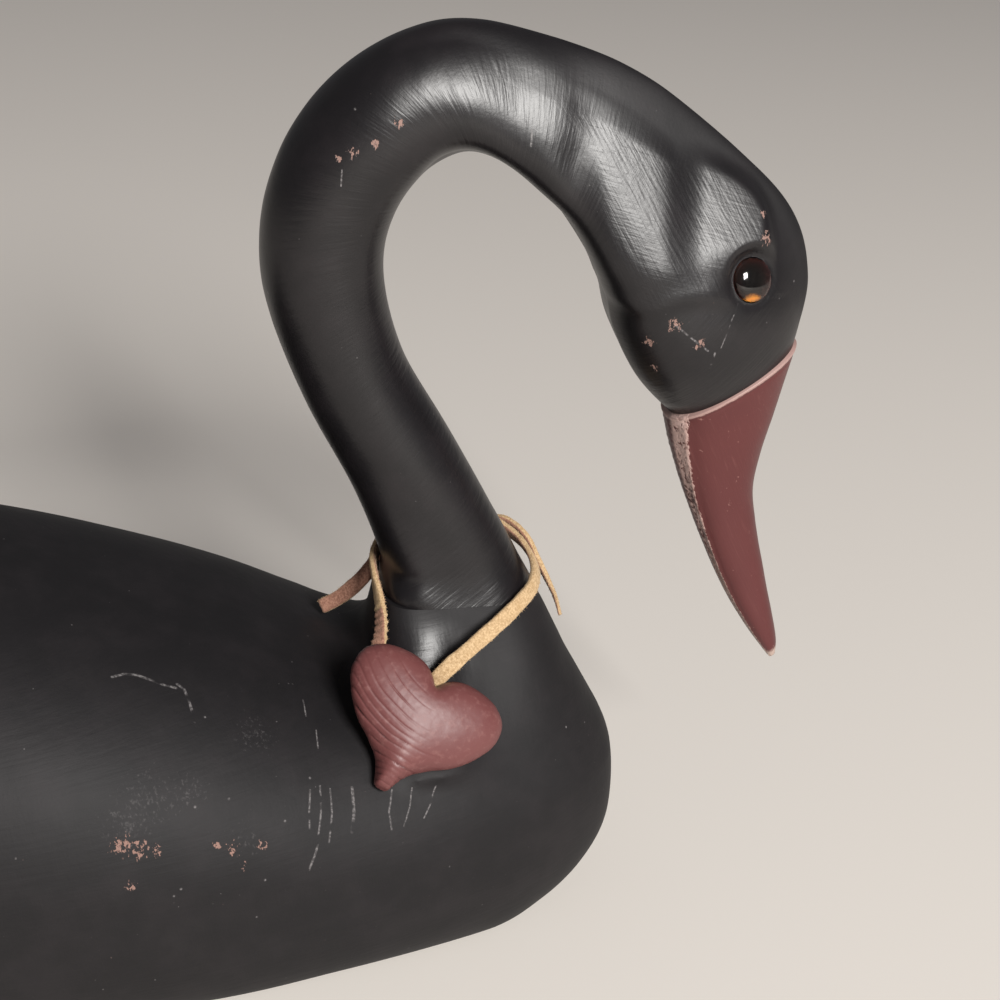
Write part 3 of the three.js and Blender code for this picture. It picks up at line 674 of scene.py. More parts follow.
def head_carving(points, below_crown, behind_nape, below_foot):
    """How far the carved planes of the head stand off its smooth form."""
    x, y, z = np.moveaxis(points, -1, 0)
    # The crown's side is cut back above its edge
    carved = 0.09 * np.clip(below_crown, -6, 0)
    # The nape and the throat fall away behind and below the cheek
    at_nape = smooth_step(249, 234, z) * smooth_step(184, 198, z)
    carved -= 0.9 * smooth_step(-2, 8, behind_nape) * hump(behind_nape, 15) * at_nape
    at_foot = smooth_step(168, 180, x) * smooth_step(212, 200, x)
    carved -= 0.5 * smooth_step(-0.8, 4, below_foot) * hump(below_foot, 9) * at_foot
    carved += 0.3 * hump(below_foot + 1.2, 2.4) * at_foot
    for slope, pivot, rear, full_rear, full_front, front, low, full_low in (REAR_PLANE, FRONT_PLANE):
        here = smooth_step(rear, full_rear, x) * (1 - smooth_step(full_front, front, x))
        here *= smooth_step(-6, 0.5, below_crown) * smooth_step(low, full_low, z)
        carved += slope * (x - pivot) * here
    return carved * smooth_step(2, 7, np.abs(y)) * smooth_step(150, 162, x)


def cheek_share(points, below_crown, behind_nape, below_foot):
    """1 on the rasped planes of the cheeks and 0 elsewhere."""
    x, y, _ = np.moveaxis(points, -1, 0)
    within = smooth_step(-1, 2, below_crown) * smooth_step(-2, 2, -behind_nape)
    within *= smooth_step(-5, 3, -below_foot)
    return within * smooth_step(150, 160, x) * smooth_step(3, 6, np.abs(y))


def round_eyes(points, relief):
    """Relief that dies away towards the eyes' rims, with a fine groove round each."""
    for side in (RIGHT, LEFT):
        place, axes = eye_axes(side)
        off = (points - place) @ axes
        reach = np.hypot(off[..., 0], off[..., 1])
        here = np.abs(off[..., 2]) < 8
        relief = np.where(here, relief * smooth_step(EYE_RIM - 0.6, EYE_RIM + 3, reach), relief)
        relief -= 0.35 * hump(reach - EYE_RIM, 0.9) * here
    return relief


def make_neck():
    rows = np.linspace(NECK_FROM_SHARE, 1, NECK_ROWS)
    share = rows[:, None]
    centre, _, backwards = neck_frame(rows)
    middle = centre[:, None]
    points = neck_point(share, full_turn(NECK_SIDES))
    normals = outward_normals(points, middle)
    points[..., 1] += root_ridge(points)
    borders = [side_distance(points, line) for line in (CROWN_EDGE, NAPE_EDGE, CHEEK_FOOT)]
    relief = hand_carved(points) + head_carving(points, *borders) * smooth_step(0.68, 0.74, share)
    flank = smooth_step(2, 8, np.abs(points[..., 1]))
    relief += ARCH_SWELL(points[..., 0]) * flank * smooth_step(0.54, 0.6, share)
    relief = round_eyes(points, relief) * (1 - smooth_step(0.975, 0.995, share))
    made = capped_loft("carved_neck", points + normals * relief[..., None])
    far = distances(centre)
    attribute(made, "along", np.repeat(far, NECK_SIDES), far[[0, -1]])
    attribute(made, "back", ((points - middle) * backwards[:, None]).sum(-1))
    attribute(made, "cheek", cheek_share(points, *borders) * smooth_step(0.69, 0.73, share))
    attribute(made, "crown", smooth_step(-2, 7, -borders[0]) * smooth_step(0.66, 0.78, share))
    return made


def drilled(made, cutters):
    """An object with closed cutters taken out of it."""
    for cutter in cutters:
        modifier = made.modifiers.new("drill", "BOOLEAN")
        modifier.operation = "DIFFERENCE"
        modifier.solver = "EXACT"
        modifier.object = cutter
    applied(made)
    for cutter in cutters:
        bpy.data.objects.remove(cutter)
    crisp(made)
    return made


def turned(name, profile, origin, axes, sides=64):
    """A closed turned form: radius and height pairs from its foot to its top, about an axis."""
    turn = full_turn(sides)
    radius, height = np.array(profile, float).T[..., None]
    local = np.stack([radius * np.cos(turn), radius * np.sin(turn), height + 0 * turn], -1)
    return capped_loft(name, origin + local @ axes.T)


def socket_cutter(side):
    radius = EYE_DIAMETER / 2 + GLUE_GAP
    return turned("socket", [(radius, -EYE_SEAT_DEPTH - GLUE_GAP), (radius, EYE_DIAMETER)], *eye_axes(side))


SEAT_X, RIM_SAMPLES, FLARE_SHARE, FLARE_HEIGHT, RIM_DROP = 138, 180, 0.7, 9, 1.2
RIM_TURNS = np.linspace(-np.pi, np.pi, RIM_SAMPLES)


def rim_radii(tree, height):
    """How far a form reaches from the seat's middle, in every way about it."""
    middle = Vector((SEAT_X, 0, height))
    ways = [Vector((math.cos(turn), math.sin(turn), 0)) for turn in RIM_TURNS]
    return np.array([tree.ray_cast(middle, way)[3] for way in ways])


def flare_to_rim(made):
    """The neck's foot widened to meet the body's carved rim."""
    points = points_of(made)
    gap = rim_radii(body_tree, SEAT_Z - RIM_DROP) - rim_radii(tree_of(made), SEAT_Z)
    off = points[:, :2] - (SEAT_X, 0)
    turn = np.arctan2(off[:, 1], off[:, 0])
    fade = smooth_step(FLARE_HEIGHT, 0, points[:, 2] - SEAT_Z) * (points[:, 2] < SEAT_Z + FLARE_HEIGHT)
    flare = np.interp(turn, RIM_TURNS, gap) * fade * FLARE_SHARE
    points[:, :2] += unit(off) * flare[:, None]
    move_points(made, points)


neck = make_neck()
flare_to_rim(neck)
sliced(neck, SEAT_Z - GLUE_GAP + SEAM, -1)
drilled(neck, [socket_cutter(RIGHT), socket_cutter(LEFT)])

# Bill
BILL_ROWS, BILL_SIDES = 260, 150
# The worn bevel along each lower edge: its inner border, as a turn below the side, by share of the length
BEVEL_TURN = line_through([(0, 47), (0.1, 49), (0.3, 50), (0.5, 51), (0.75, 49), (1, 38)])


def make_bill():
    share = np.linspace(0, 1, BILL_ROWS)[:, None]
    turn = full_turn(BILL_SIDES)
    points = bill_point(share, turn)
    normals = outward_normals(points, points.mean(1, keepdims=True))
    far = share * BILL_LENGTH
    lip = 0.16 * (hump(far - 0.6, 0.45) - hump(far - 1.7, 0.6))
    # Below the side, 0 at the widest line and 90 under the middle
    below = -np.degrees(np.arcsin(np.clip(np.sin(turn), -1, 1)))
    inside = below - BEVEL_TURN(share)
    ridge = 0.35 * hump(inside, 5.0) - 0.4 * hump(inside - 16, 9.0)
    ridge = ridge * smooth_step(0.01, 0.05, share) * (1 - 0.6 * smooth_step(0.6, 1, share))
    on_bevel = smooth_step(-4, 2, inside) * (1 - smooth_step(34, 46, inside))
    chippy = (1.25 - smooth_step(0.2, 0.75, share)) * smooth_step(0.012, 0.03, share)
    chipped = 0.16 * noise_of(points, 0.95, 1.9) * on_bevel * chippy
    relief = lip + ridge + chipped + 0.05 * noise_of(points, 9.0, 4.4) + 0.02 * noise_of(points, 3.0, 6.1)
    made = capped_loft("carved_bill", points + normals * relief[..., None])
    attribute(made, "share", share + 0 * turn, (0, 1))
    attribute(made, "bevel", inside)
    attribute(made, "lip", far + 0 * turn, (0, BILL_LENGTH))
    return made


bill = make_bill()

# Heart
HEART_SIDES, HEART_BLUR = 480, 0.13
# The grain's grooves are arcs about a point off the right lobe: their radii, and how far round they fade
GRAIN_CENTRE = (1.3, 27.5)
GRAIN_RADII = [22.5, 25.7, 28.6, 31.2, 33.4, 35.5, 37.5, 39.4, 41.3, 43.1, 44.7, 46.3, 47.8, 49.2, 50.5]
GRAIN_REACH, GRAIN_FADE, GRAIN_DEPTH = 102, 16, 0.42


def heart_ring(scale):
    """The outline's points at a scale, in the heart's own frame; inner rings lose the notch bit by bit."""
    steps = np.arange(HEART_SIDES) / HEART_SIDES
    right = steps <= 0.5
    along = np.where(right, steps * 2, 2 - steps * 2) * (len(HEART_OUTLINE) - 1)
    x, y = (np.interp(along, np.arange(len(HEART_OUTLINE)), HEART_OUTLINE[:, axis]) for axis in (0, 1))
    x = x * np.where(right, 1, -1)
    ring = np.stack([x * HEART_WIDTH / 2, (y - HEART_MIDDLE_SHARE) * HEART_HEIGHT], -1)[::-1]
    blur = HEART_BLUR * (1 - scale) * HEART_SIDES
    waves = np.fft.fftfreq(HEART_SIDES)[:, None]
    blurred = np.fft.fft(ring, axis=0) * np.exp(-2 * (np.pi * waves * blur) ** 2)
    return np.fft.ifft(blurred, axis=0).real * scale


def grain_grooves(points):
    """How deep the heart's open grain is cut, in its own frame."""
    off = points[..., :2] - np.array(GRAIN_CENTRE)
    far = np.hypot(off[..., 0], off[..., 1]) + 0.45 * noise_of(points, 8.0, 3.3)
    around = np.degrees(np.arctan2(-off[..., 1], -off[..., 0]))
    uneven = 0.72 + 0.45 * noise_of(points, 5.0, 6.6)
    total = np.zeros(points.shape[:-1])
    for index, radius in enumerate(GRAIN_RADII):
        gap = far - radius - 0.25 * math.sin(index * 5.1)
        cut = np.exp(-(np.abs(gap) / 0.22) ** 1.3)
        slope = 0.3 * np.exp(-np.maximum(-gap, 0) / 0.5) * (gap < 0)
        reach = min(GRAIN_REACH, 86 + 2 * index) + 6 * math.sin(index * 2.4)
        fade = 1 - smooth_step(reach - GRAIN_FADE, reach + GRAIN_FADE / 4, around)
        strength = (0.35 + 0.65 * min(1, index / 6)) * (0.8 + 0.2 * math.sin(index * 3.7))
        total = np.maximum(total, (cut + slope).clip(0, 1.1) * fade * strength * uneven)
    return total.clip(0, 1.1)


def make_heart():
    scales = np.concatenate([np.linspace(0.04, 0.9, 66), np.linspace(0.91, 1, 16)])
    puff = HEART_THICKNESS * np.sqrt(np.maximum(1 - scales ** HEART_FULLNESS, 0))
    rings = list(zip(scales, puff * (HEART_FRONT_SHARE - 1)))
    rings += list(zip(scales, puff * HEART_FRONT_SHARE))[-2::-1]
    local = np.array([
        np.column_stack([heart_ring(scale), np.full(HEART_SIDES, height)]) for scale, height in rings
    ])
    normals = outward_normals(local)
    depth = grain_grooves(local) * smooth_step(-1.5, 1.5, local[..., 2])
    relief = 0.12 * noise_of(local, 7.0, 8.2) + 0.03 * noise_of(local, 1.6, 1.2) - GRAIN_DEPTH * depth
    made = capped_loft("carved_heart", HEART_ORIGIN + (local + normals * relief[..., None]) @ HEART_AXES.T)
    attribute(made, "groove", depth)
    return made


def hole_cutter():
    sizes = np.array([HEART_WIDTH, HEART_HEIGHT, HEART_THICKNESS])
    start, end = (HEART_ORIGIN + HEART_AXES @ (np.array(hole) * sizes) for hole in (HOLE_IN, HOLE_OUT))
    way = unit(end - start)
    side = unit(np.cross(way, HEART_AXES[:, 0]))
    axes = np.stack([np.cross(side, way), side, way], -1)
    length = np.linalg.norm(end - start)
    return turned("hole", [(HOLE_RADIUS, -6), (HOLE_RADIUS, length + 6)], start, axes, 40)


heart = drilled(make_heart(), [hole_cutter()])

# Eyes
IRIS_DEPTH, IRIS_GAP, EYE_EDGE = 0.9, 0.25, 0.8


def make_eye(side):
    """A clear dome, and the painted iris and pupil behind it."""
    place, axes = eye_axes(side)
    radius = EYE_DIAMETER / 2
    turn = np.linspace(0, np.pi / 2, 28)[:-1]
    foot = [(radius - EYE_EDGE, -EYE_SEAT_DEPTH + 0.9), (radius - 0.1, -EYE_SEAT_DEPTH + 1.4), (radius, -0.3)]
    dome = [(radius * math.cos(t), EYE_DOME * math.sin(t)) for t in turn] + [(0.12, EYE_DOME)]
    lens = turned(f"eye_lens_{SIDE_WORDS[side]}", foot + dome, place, axes, 72)
    wide = radius - IRIS_GAP
    bowl = [(wide * share, -IRIS_DEPTH - 1.0 * (1 - share ** 2)) for share in np.linspace(1, 0.04, 14)]
    iris = turned(f"eye_iris_{SIDE_WORDS[side]}", [(wide, -EYE_SEAT_DEPTH)] + bowl, place, axes, 72)
    return lens, iris, place, axes


eyes = {side: make_eye(side) for side in (RIGHT, LEFT)}


# Materials
class Nodes:
    """Shader nodes of a tree, made and joined by short calls."""

    def __init__(self, tree):
        self.tree = tree

    def put(self, socket, value):
        if isinstance(value, bpy.types.NodeSocket):
            self.tree.links.new(value, socket)
        else:
            socket.default_value = value

    def node(self, kind, inputs, **settings):
        made = self.tree.nodes.new("ShaderNode" + kind)
        for name, value in settings.items():
            setattr(made, name, value)
        for name, value in (inputs if isinstance(inputs, dict) else dict(enumerate(inputs))).items():
            self.put(made.inputs[name], value)
        return made.outputs

    def math(self, operation, *values, clamp=False):
        return self.node("Math", values, operation=operation, use_clamp=clamp)[0]

    def times(self, value, *others):
        for other in others:
            value = self.math("MULTIPLY", value, other)
        return value

    def scaled(self, value, by, plus):
        return self.math("MULTIPLY_ADD", value, by, plus)

    def most(self, value, *others):
        for other in others:
            value = self.math("MAXIMUM", value, other)
        return value

    def vector(self, operation, first, second, number=False):
        made = self.node("VectorMath", (first, second), operation=operation)
        return made["Value" if number else "Vector"]

    def lengthened(self, vector, by):
        return self.node("VectorMath", {0: vector, "Scale": by}, operation="SCALE")["Vector"]

    def step(self, value, low, high):
        ends = {"Value": value, "From Min": low, "From Max": high}
        return self.node("MapRange", ends, interpolation_type="SMOOTHSTEP")[0]


class Look(Nodes):
    """A material."""

    def __init__(self, name, **values):
        self.material = bpy.data.materials.new(name)
        self.material.use_nodes = True
        super().__init__(self.material.node_tree)
        self.tree.nodes.clear()
        self.shader = self.tree.nodes.new("ShaderNodeBsdfPrincipled")
        self.node("OutputMaterial", {"Surface": self.shader.outputs[0]})
        self.set(**values)

    def set(self, **values):
        for name, value in values.items():
            self.put(self.shader.inputs[name.replace("_", " ")], value)

    def place(self):
        return self.node("TexCoord", ())["Object"]

    def stretched(self, vector, lengths, turn=(0, 0, 0)):
        """Places in a turned frame, counted in lumps of these lengths in millimetres along its axes."""
        return self.node("Mapping", {
            "Vector": vector, "Scale": [length * MM for length in lengths],
            "Rotation": [math.radians(angle) for angle in turn],
        }, vector_type="TEXTURE")[0]

    def noise(self, vector, scale=1.0, detail=3.0, roughness=0.55, distortion=0.0):
        return self.node("TexNoise", {
            "Vector": vector, "Scale": scale, "Detail": detail, "Roughness": roughness,
            "Distortion": distortion,
        })["Fac"]

    def mix(self, share, first, second):
        """One colour giving way to another."""
        return self.node("Mix", {0: share, 6: first, 7: second}, data_type="RGBA")[2]

    def tint(self, paint, share, strength, colour):
        """Paint that turns to a colour at a share of some strength."""
        return self.mix(self.times(share, strength), paint, colour)

    def bump(self, height, distance, strength, under=None):
        inputs = {"Height": height, "Strength": strength, "Distance": distance}
        return self.node("Bump", inputs if under is None else {**inputs, "Normal": under})[0]

    def number(self, name):
        return self.node("Attribute", (), attribute_name=name)["Fac"]

    def ball(self, vector, middle, radius, soft):
        """1 within a ball and 0 outside it, soft at its border."""
        far = self.vector("DISTANCE", vector, [axis * MM for axis in middle], number=True)
        return self.step(far, radius * (1 + soft) * MM, radius * (1 - soft) * MM)


def shade(*screen):
    """A colour given as it shows on a screen, from 0 to 255."""
    ratios = [value / 255 for value in screen]
    parts = [ratio / 12.92 if ratio <= 0.04045 else ((ratio + 0.055) / 1.055) ** 2.4 for ratio in ratios]
    return (*parts, 1.0)


def slotted(made, look):
    made.data.materials.clear()
    made.data.materials.append(look.material)


def spots_of(tree, pixels):
    """Where lines of sight through pixels of the photograph meet a form, and its ways outwards there."""
    hits = [tree.ray_cast(CAMERA_PLACE, sight(pixel)) for pixel in pixels]
    return [(hit[0], hit[1]) for hit in hits if hit[0] is not None]


def stroke_group():
    """A node group: 1 on a painted stroke between two places, seen square to the surface, and 0 off it."""
    group = bpy.data.node_groups.new("stroke", "ShaderNodeTree")
    for kind, names in (("Vector", ("Place", "Start", "Way", "Out")), ("Float", ("Inner", "Outer"))):
        for name in names:
            group.interface.new_socket(name, in_out="INPUT", socket_type="NodeSocket" + kind)
    group.interface.new_socket("Share", in_out="OUTPUT", socket_type="NodeSocketFloat")
    nodes, given = Nodes(group), group.nodes.new("NodeGroupInput").outputs
    way, out = given["Way"], given["Out"]
    off = nodes.vector("SUBTRACT", given["Place"], given["Start"])
    height = nodes.vector("DOT_PRODUCT", off, out, number=True)
    flat = nodes.vector("SUBTRACT", off, nodes.lengthened(out, height))
    length = nodes.vector("DOT_PRODUCT", way, way, number=True)
    share = nodes.math("DIVIDE", nodes.vector("DOT_PRODUCT", flat, way, number=True), length, clamp=True)
    far = nodes.vector("DISTANCE", flat, nodes.lengthened(way, share), number=True)
    result = group.nodes.new("NodeGroupOutput").inputs["Share"]
    nodes.put(result, nodes.step(far, given["Outer"], given["Inner"]))
    return group


STROKE = stroke_group()
SHORTEST_STROKE = Vector((0.01, 0, 0))


def stroke(look, place, start, end, out, width):
    """How much of a painted stroke or scratch lies at a place."""
    way = end - start
    way -= out * way.dot(out)
    if way.length_squared < 1e-4:
        way = SHORTEST_STROKE
    return look.node("Group", {
        "Place": place, "Start": start * MM, "Way": way * MM, "Out": out,
        "Inner": width * 0.25 * MM, "Outer": width * 0.75 * MM,
    }, node_tree=STROKE)[0]


# Marks of wear on the right side, with hazes that are partly painted highlight, by the pixels of the
# photograph that they cross, and their width
NECK_SCRATCHES = [
    ([(739, 301), (731, 322), (721, 348)], 0.3), ([(715, 353), (710, 368)], 0.55),
    ([(669, 320), (690, 337), (708, 351)], 0.5), ([(342, 170), (341, 186)], 0.4),
    ([(532, 130), (531, 146)], 0.5),
]
NECK_SCUFFS = [
    ((353, 152), 2.0), ((376, 144), 1.5), ((399, 123), 1.8), ((338, 158), 1.3), ((766, 238), 2.4),
    ((649, 342), 2.0), ((654, 368), 1.6), ((675, 325), 2.2), ((700, 344), 2.0), ((763, 214), 1.5),
]
NECK_DOTS = [(712, 314), (719, 334), (794, 281), (603, 259), (355, 109)]
BODY_SCRATCHES = [
    ([(112, 677), (124, 674), (137, 675), (151, 680), (164, 685), (176, 688)], 0.7),
    ([(177, 684), (184, 689), (190, 704), (195, 722)], 0.7),
    ([(352, 788), (354, 812), (352, 832)], 0.8), ([(319, 838), (316, 852), (309, 870)], 0.6),
    ([(310, 790), (309, 814), (310, 842)], 0.5), ([(320, 786), (321, 812), (318, 838)], 0.5),
    ([(330, 789), (332, 812), (329, 842)], 0.5), ([(392, 790), (389, 812), (392, 833)], 0.5),
    ([(412, 788), (410, 806), (404, 826)], 0.4), ([(436, 786), (431, 803), (424, 818)], 0.4),
    ([(303, 700), (306, 716)], 0.4), ([(316, 730), (318, 748)], 0.4),
]
BODY_SCUFFS = [
    ((122, 846), 3.6), ((140, 849), 3.2), ((157, 851), 2.0), ((246, 866), 1.6), ((232, 848), 2.6),
    ((262, 846), 1.8), ((218, 846), 1.6), ((131, 886), 2.0),
]
# Chalky hazes on the flank; the rear ones also stand for a painted highlight of the key light on the dull
# paint
BODY_HAZE_AND_SHEEN_PATCHES = [((150, 800), 8.5), ((128, 822), 7.5), ((185, 792), 6), ((255, 735), 6), ((245, 840), 5)]
BODY_DOTS = [
    (229, 799), (285, 821), (285, 805), (310, 778), (195, 807), (181, 889), (174, 896), (257, 917),
    (213, 903), (205, 717), (265, 880), (394, 817), (566, 727), (406, 588),
]
DOT_SIZE, DOT_SOFTNESS = 0.32, 0.5


def marks_on(look, place, tree, scratches, dots):
    """Scratches and dots of bare or chalky wood as one value."""
    marks = []
    for pixels, width in scratches:
        spots = spots_of(tree, pixels)
        for (start, out), (end, _) in zip(spots, spots[1:]):
            marks.append(stroke(look, place, start, end, out, width))
    marks += [look.ball(place, spot, DOT_SIZE, DOT_SOFTNESS) for spot, _ in spots_of(tree, dots)]
    return look.most(*marks)


def patches_on(look, place, tree, patches, soft):
    """Round soft-edged grounds at pixels of the photograph as one value."""
    return look.most(*(
        look.ball(place, spot, size, soft) for pixel, size in patches for spot, _ in spots_of(tree, [pixel])
    ))


# Black paint, a warmer black, and the grey of a painted sheen on the crests of brush strokes
BLACK_PAINT, BLACK_PAINT_WARM, STROKE_SHEEN_GREY = shade(19, 17, 19), shade(27, 24, 26), shade(66, 62, 62)
# Bare wood in scuffs, and a chalky grey for scratches, specks and hazes, the hazes partly painted highlight
BARE_WOOD, CHALKY_AND_SHEEN_GREY = shade(150, 118, 108), shade(128, 124, 124)


def black_paint(name, tree, scratches, scuffs, haze_and_sheen_patches, dots, strokes, gloss, ior):
    """Satin black paint over wood, brushed and chipped, with a painted sheen on the crests of its strokes and
    chalky hazes that are partly painted highlight.
    """
    look = Look(name, IOR=ior)
    place = look.place()
    brushed = strokes(look, place)
    flecks = look.noise(look.stretched(place, (0.9, 0.9, 1.5)), 1, 2, 0.7)
    ground = patches_on(look, place, tree, scuffs, 0.7)
    scuffed = look.step(look.scaled(ground, 0.3, flecks), 0.78, 0.86)
    broken = look.step(look.noise(place, 1300, 2, 0.6), 0.42, 0.6)
    gaps = look.step(look.noise(place, 330, 1, 0.5), 0.36, 0.5)
    lines = look.times(marks_on(look, place, tree, scratches, dots), gaps, look.scaled(broken, 0.5, 0.2))
    cloudy = look.step(look.noise(place, 70, 4, 0.6), 0.35, 0.75)
    paint = look.mix(cloudy, BLACK_PAINT, BLACK_PAINT_WARM)
    # Painted sheen: the crests of the brush strokes are painted lighter, as grazing light catches them
    paint = look.tint(paint, look.step(brushed, 0.62, 0.9), 0.5, STROKE_SHEEN_GREY)
    if haze_and_sheen_patches:
        # Painted highlight: the hazes are chalky grey, partly standing for light on the flank
        haze_and_sheen = patches_on(look, place, tree, haze_and_sheen_patches, 0.8)
        paint = look.tint(paint, look.step(look.scaled(haze_and_sheen, 0.2, flecks), 0.7, 0.98), 0.2, CHALKY_AND_SHEEN_GREY)
    paint = look.tint(paint, look.step(look.noise(place, 640, 1, 0.5), 0.79, 0.83), 0.3, CHALKY_AND_SHEEN_GREY)
    paint = look.mix(lines, paint, CHALKY_AND_SHEEN_GREY)
    paint = look.tint(paint, scuffed, 0.8, BARE_WOOD)
    rough = look.scaled(look.noise(place, 26), 0.1, gloss(look, place))
    rough = look.scaled(look.most(scuffed, lines), 0.3, rough)
    normal = look.bump(brushed, 0.00022, 0.9)
    normal = look.bump(look.noise(place, 900, 2, 0.6), 0.00006, 0.5, normal)
    normal = look.bump(scuffed, -0.0001, 0.7, normal)
    look.set(Base_Color=paint, Roughness=rough, Normal=normal)
    return look


def neck_gloss(look, place):
    """Satin, and duller on the crown."""
    return look.scaled(look.number("crown"), 0.28, 0.29)


RUBBED_ROOT = (130, -31, 91)


def body_gloss(look, place):
    """Dull, and rubbed bright where the neck's root meets the flank."""
    return look.scaled(look.ball(place, RUBBED_ROOT, 13, 0.4), -0.31, 0.6)


def neck_strokes(look, place):
    """Strokes across the neck, and a rasped hatching on the cheeks."""
    along, back, cheek = look.number("along"), look.number("back"), look.number("cheek")
    coiled = look.node("CombineXYZ", {
        "X": look.times(look.scaled(back, 0.3, along), 0.85),
        "Y": look.times(look.node("SeparateXYZ", [place])["Y"], 95.0),
        "Z": look.times(back, 0.085),
    })[0]
    around = look.noise(coiled, 1.0, 2.5, 0.55, 0.25)
    steep = look.noise(look.stretched(place, (9, 6, 0.85), (0, 58, 0)), 1.0, 2.0, 0.5)
    level = look.noise(look.stretched(place, (7, 5, 0.75), (0, 14, 0)), 1.0, 2.0, 0.5)
    worked = look.scaled(look.step(back, 14, 8), 0.42, 0.13)
    hatch = look.scaled(steep, 0.4, look.times(level, 0.3))
    return look.node("Mix", {0: cheek, 2: look.times(around, worked), 3: hatch}, data_type="FLOAT")[0]


def body_strokes(look, place):
    """Long strokes along the flank, and fainter ones over them."""
    along = look.noise(look.stretched(place, (26, 6, 1.5), (0, -7, 3)), 1.0, 3.0, 0.6, 0.2)
    across = look.noise(look.stretched(place, (1.6, 6, 12), (0, -12, 0)), 1.0, 2.0, 0.5)
    return look.scaled(across, 0.2, look.times(along, 0.45))


def bill_paint():
    """Satin maroon paint, with a painted highlight along its lip, its lower edge bevels showing pale wood
    through wear under a painted highlight and a painted highlight line along their inner border, and its tip
    blunted.
    """
    look = Look("maroon_paint", IOR=1.5)
    place = look.place()
    broad = look.noise(place, 34)
    share, bevel, far = look.number("share"), look.number("bevel"), look.number("lip")
    crackle = look.noise(place, 620, 3, 0.65, 0.6)
    uneven = look.math("SUBTRACT", crackle, 0.5)
    streak = look.noise(look.stretched(place, (0.8, 2.2, 14), (0, -28, 0)), 1.0, 2.5, 0.6)
    flecks = look.step(look.noise(place, 760, 2, 0.6), 0.7, 0.76)
    edge = look.scaled(uneven, 12.0, bevel)
    on_bevel = look.times(look.step(edge, -1.5, 0.5), look.step(edge, 30, 22))
    chips = look.scaled(look.step(share, 0.5, 0.1), 0.14, crackle)
    # Painted highlight: the pale strip along each lower bevel is wear to pale wood, painted brighter where
    # light catches it
    worn_and_highlit = look.times(on_bevel, look.step(chips, 0.47, 0.62))
    # From midway to the tip the strip is a duller pale brown, wear and painted highlight alike
    low_worn_and_highlit = look.times(on_bevel, look.step(share, 0.42, 0.62))
    # Painted highlight: a pale line along the inner border of each bevel
    rim = look.times(look.step(edge, -2.5, -0.5), look.step(edge, 4.0, 1.5))
    # Painted highlight: a pale line along the lip at the bill's base
    lip_highlight = look.step(look.scaled(uneven, 1.3, far), 1.1, 0.6)
    tip = look.step(look.scaled(crackle, 0.02, share), 0.972, 0.992)
    paint = look.mix(broad, shade(76, 29, 30), shade(88, 38, 37))
    for mask, strength, colour in (
        (look.step(streak, 0.55, 0.8), 0.3, shade(112, 66, 62)), (flecks, 0.4, shade(170, 128, 118)),
        (worn_and_highlit, 0.9, shade(222, 192, 184)), (low_worn_and_highlit, 0.7, shade(158, 130, 118)),
        (rim, 0.45, shade(176, 140, 130)), (lip_highlight, 0.7, shade(180, 150, 143)),
        (tip, 0.85, shade(186, 164, 152)),
    ):
        paint = look.tint(paint, mask, strength, colour)
    # Rougher on the worn places and the tip, and under the painted highlights of lip and bevel too
    bare = look.most(worn_and_highlit, low_worn_and_highlit, lip_highlight, tip)
    rough = look.scaled(bare, 0.06, look.scaled(broad, 0.1, 0.36))
    normal = look.bump(streak, 0.00008, 0.6)
    normal = look.bump(look.times(crackle, on_bevel), 0.00045, 0.8, normal)
    look.set(Base_Color=paint, Roughness=rough, Normal=normal)
    return look


def heart_paint():
    """Dusty maroon paint over open grain, with painted shade in the grain's grooves."""
    look = Look("heart_paint", IOR=1.5)
    place = look.place()
    dusty = look.noise(place, 620, 3, 0.6)
    paint = look.mix(look.noise(place, 60), shade(96, 52, 52), shade(110, 64, 62))
    paint = look.tint(paint, look.step(dusty, 0.5, 0.72), 0.28, shade(142, 100, 95))
    # Painted shade: the grooves are painted dark where shade falls in them
    paint = look.tint(paint, look.step(look.number("groove"), 0.3, 0.95), 0.6, shade(46, 24, 25))
    look.set(Base_Color=paint, Roughness=look.scaled(dusty, 0.14, 0.4), Normal=look.bump(dusty, 0.00009, 0.6))
    return look


def suede():
    """Napped tan suede with a brown grain side."""
    look = Look("suede", IOR=1.4, Sheen_Weight=0.35, Sheen_Roughness=0.5, Sheen_Tint=shade(236, 216, 186))
    place = look.place()
    fine = look.noise(place, 1500, 4, 0.7)
    patches = look.noise(place, 190, 3, 0.6)
    tan = look.mix(look.step(fine, 0.32, 0.68), shade(164, 134, 97), shade(206, 177, 138))
    tan = look.tint(tan, look.step(patches, 0.55, 0.8), 0.4, shade(156, 122, 76))
    grain = look.mix(look.step(fine, 0.35, 0.65), shade(134, 93, 77), shade(174, 129, 109))
    brown = look.step(look.scaled(patches, 0.3, look.number("brown")), 0.5, 0.8)
    look.set(
        Base_Color=look.mix(brown, tan, grain), Roughness=look.scaled(fine, 0.1, 0.85),
        Normal=look.bump(fine, 0.0003, 0.8),
    )
    return look


def suede_nap():
    """The loose fibres of the suede."""
    look = Look("suede_nap", Roughness=0.9, IOR=1.4)
    tone = look.noise(look.place(), 900, 2)
    look.set(Base_Color=look.mix(tone, shade(158, 130, 98), shade(204, 178, 142)))
    return look


def eye_glass():
    """Clear glass with a faint warm cast."""
    return Look("eye_glass", Base_Color=shade(255, 240, 226), Roughness=0.1, IOR=1.5, Transmission_Weight=1.0)


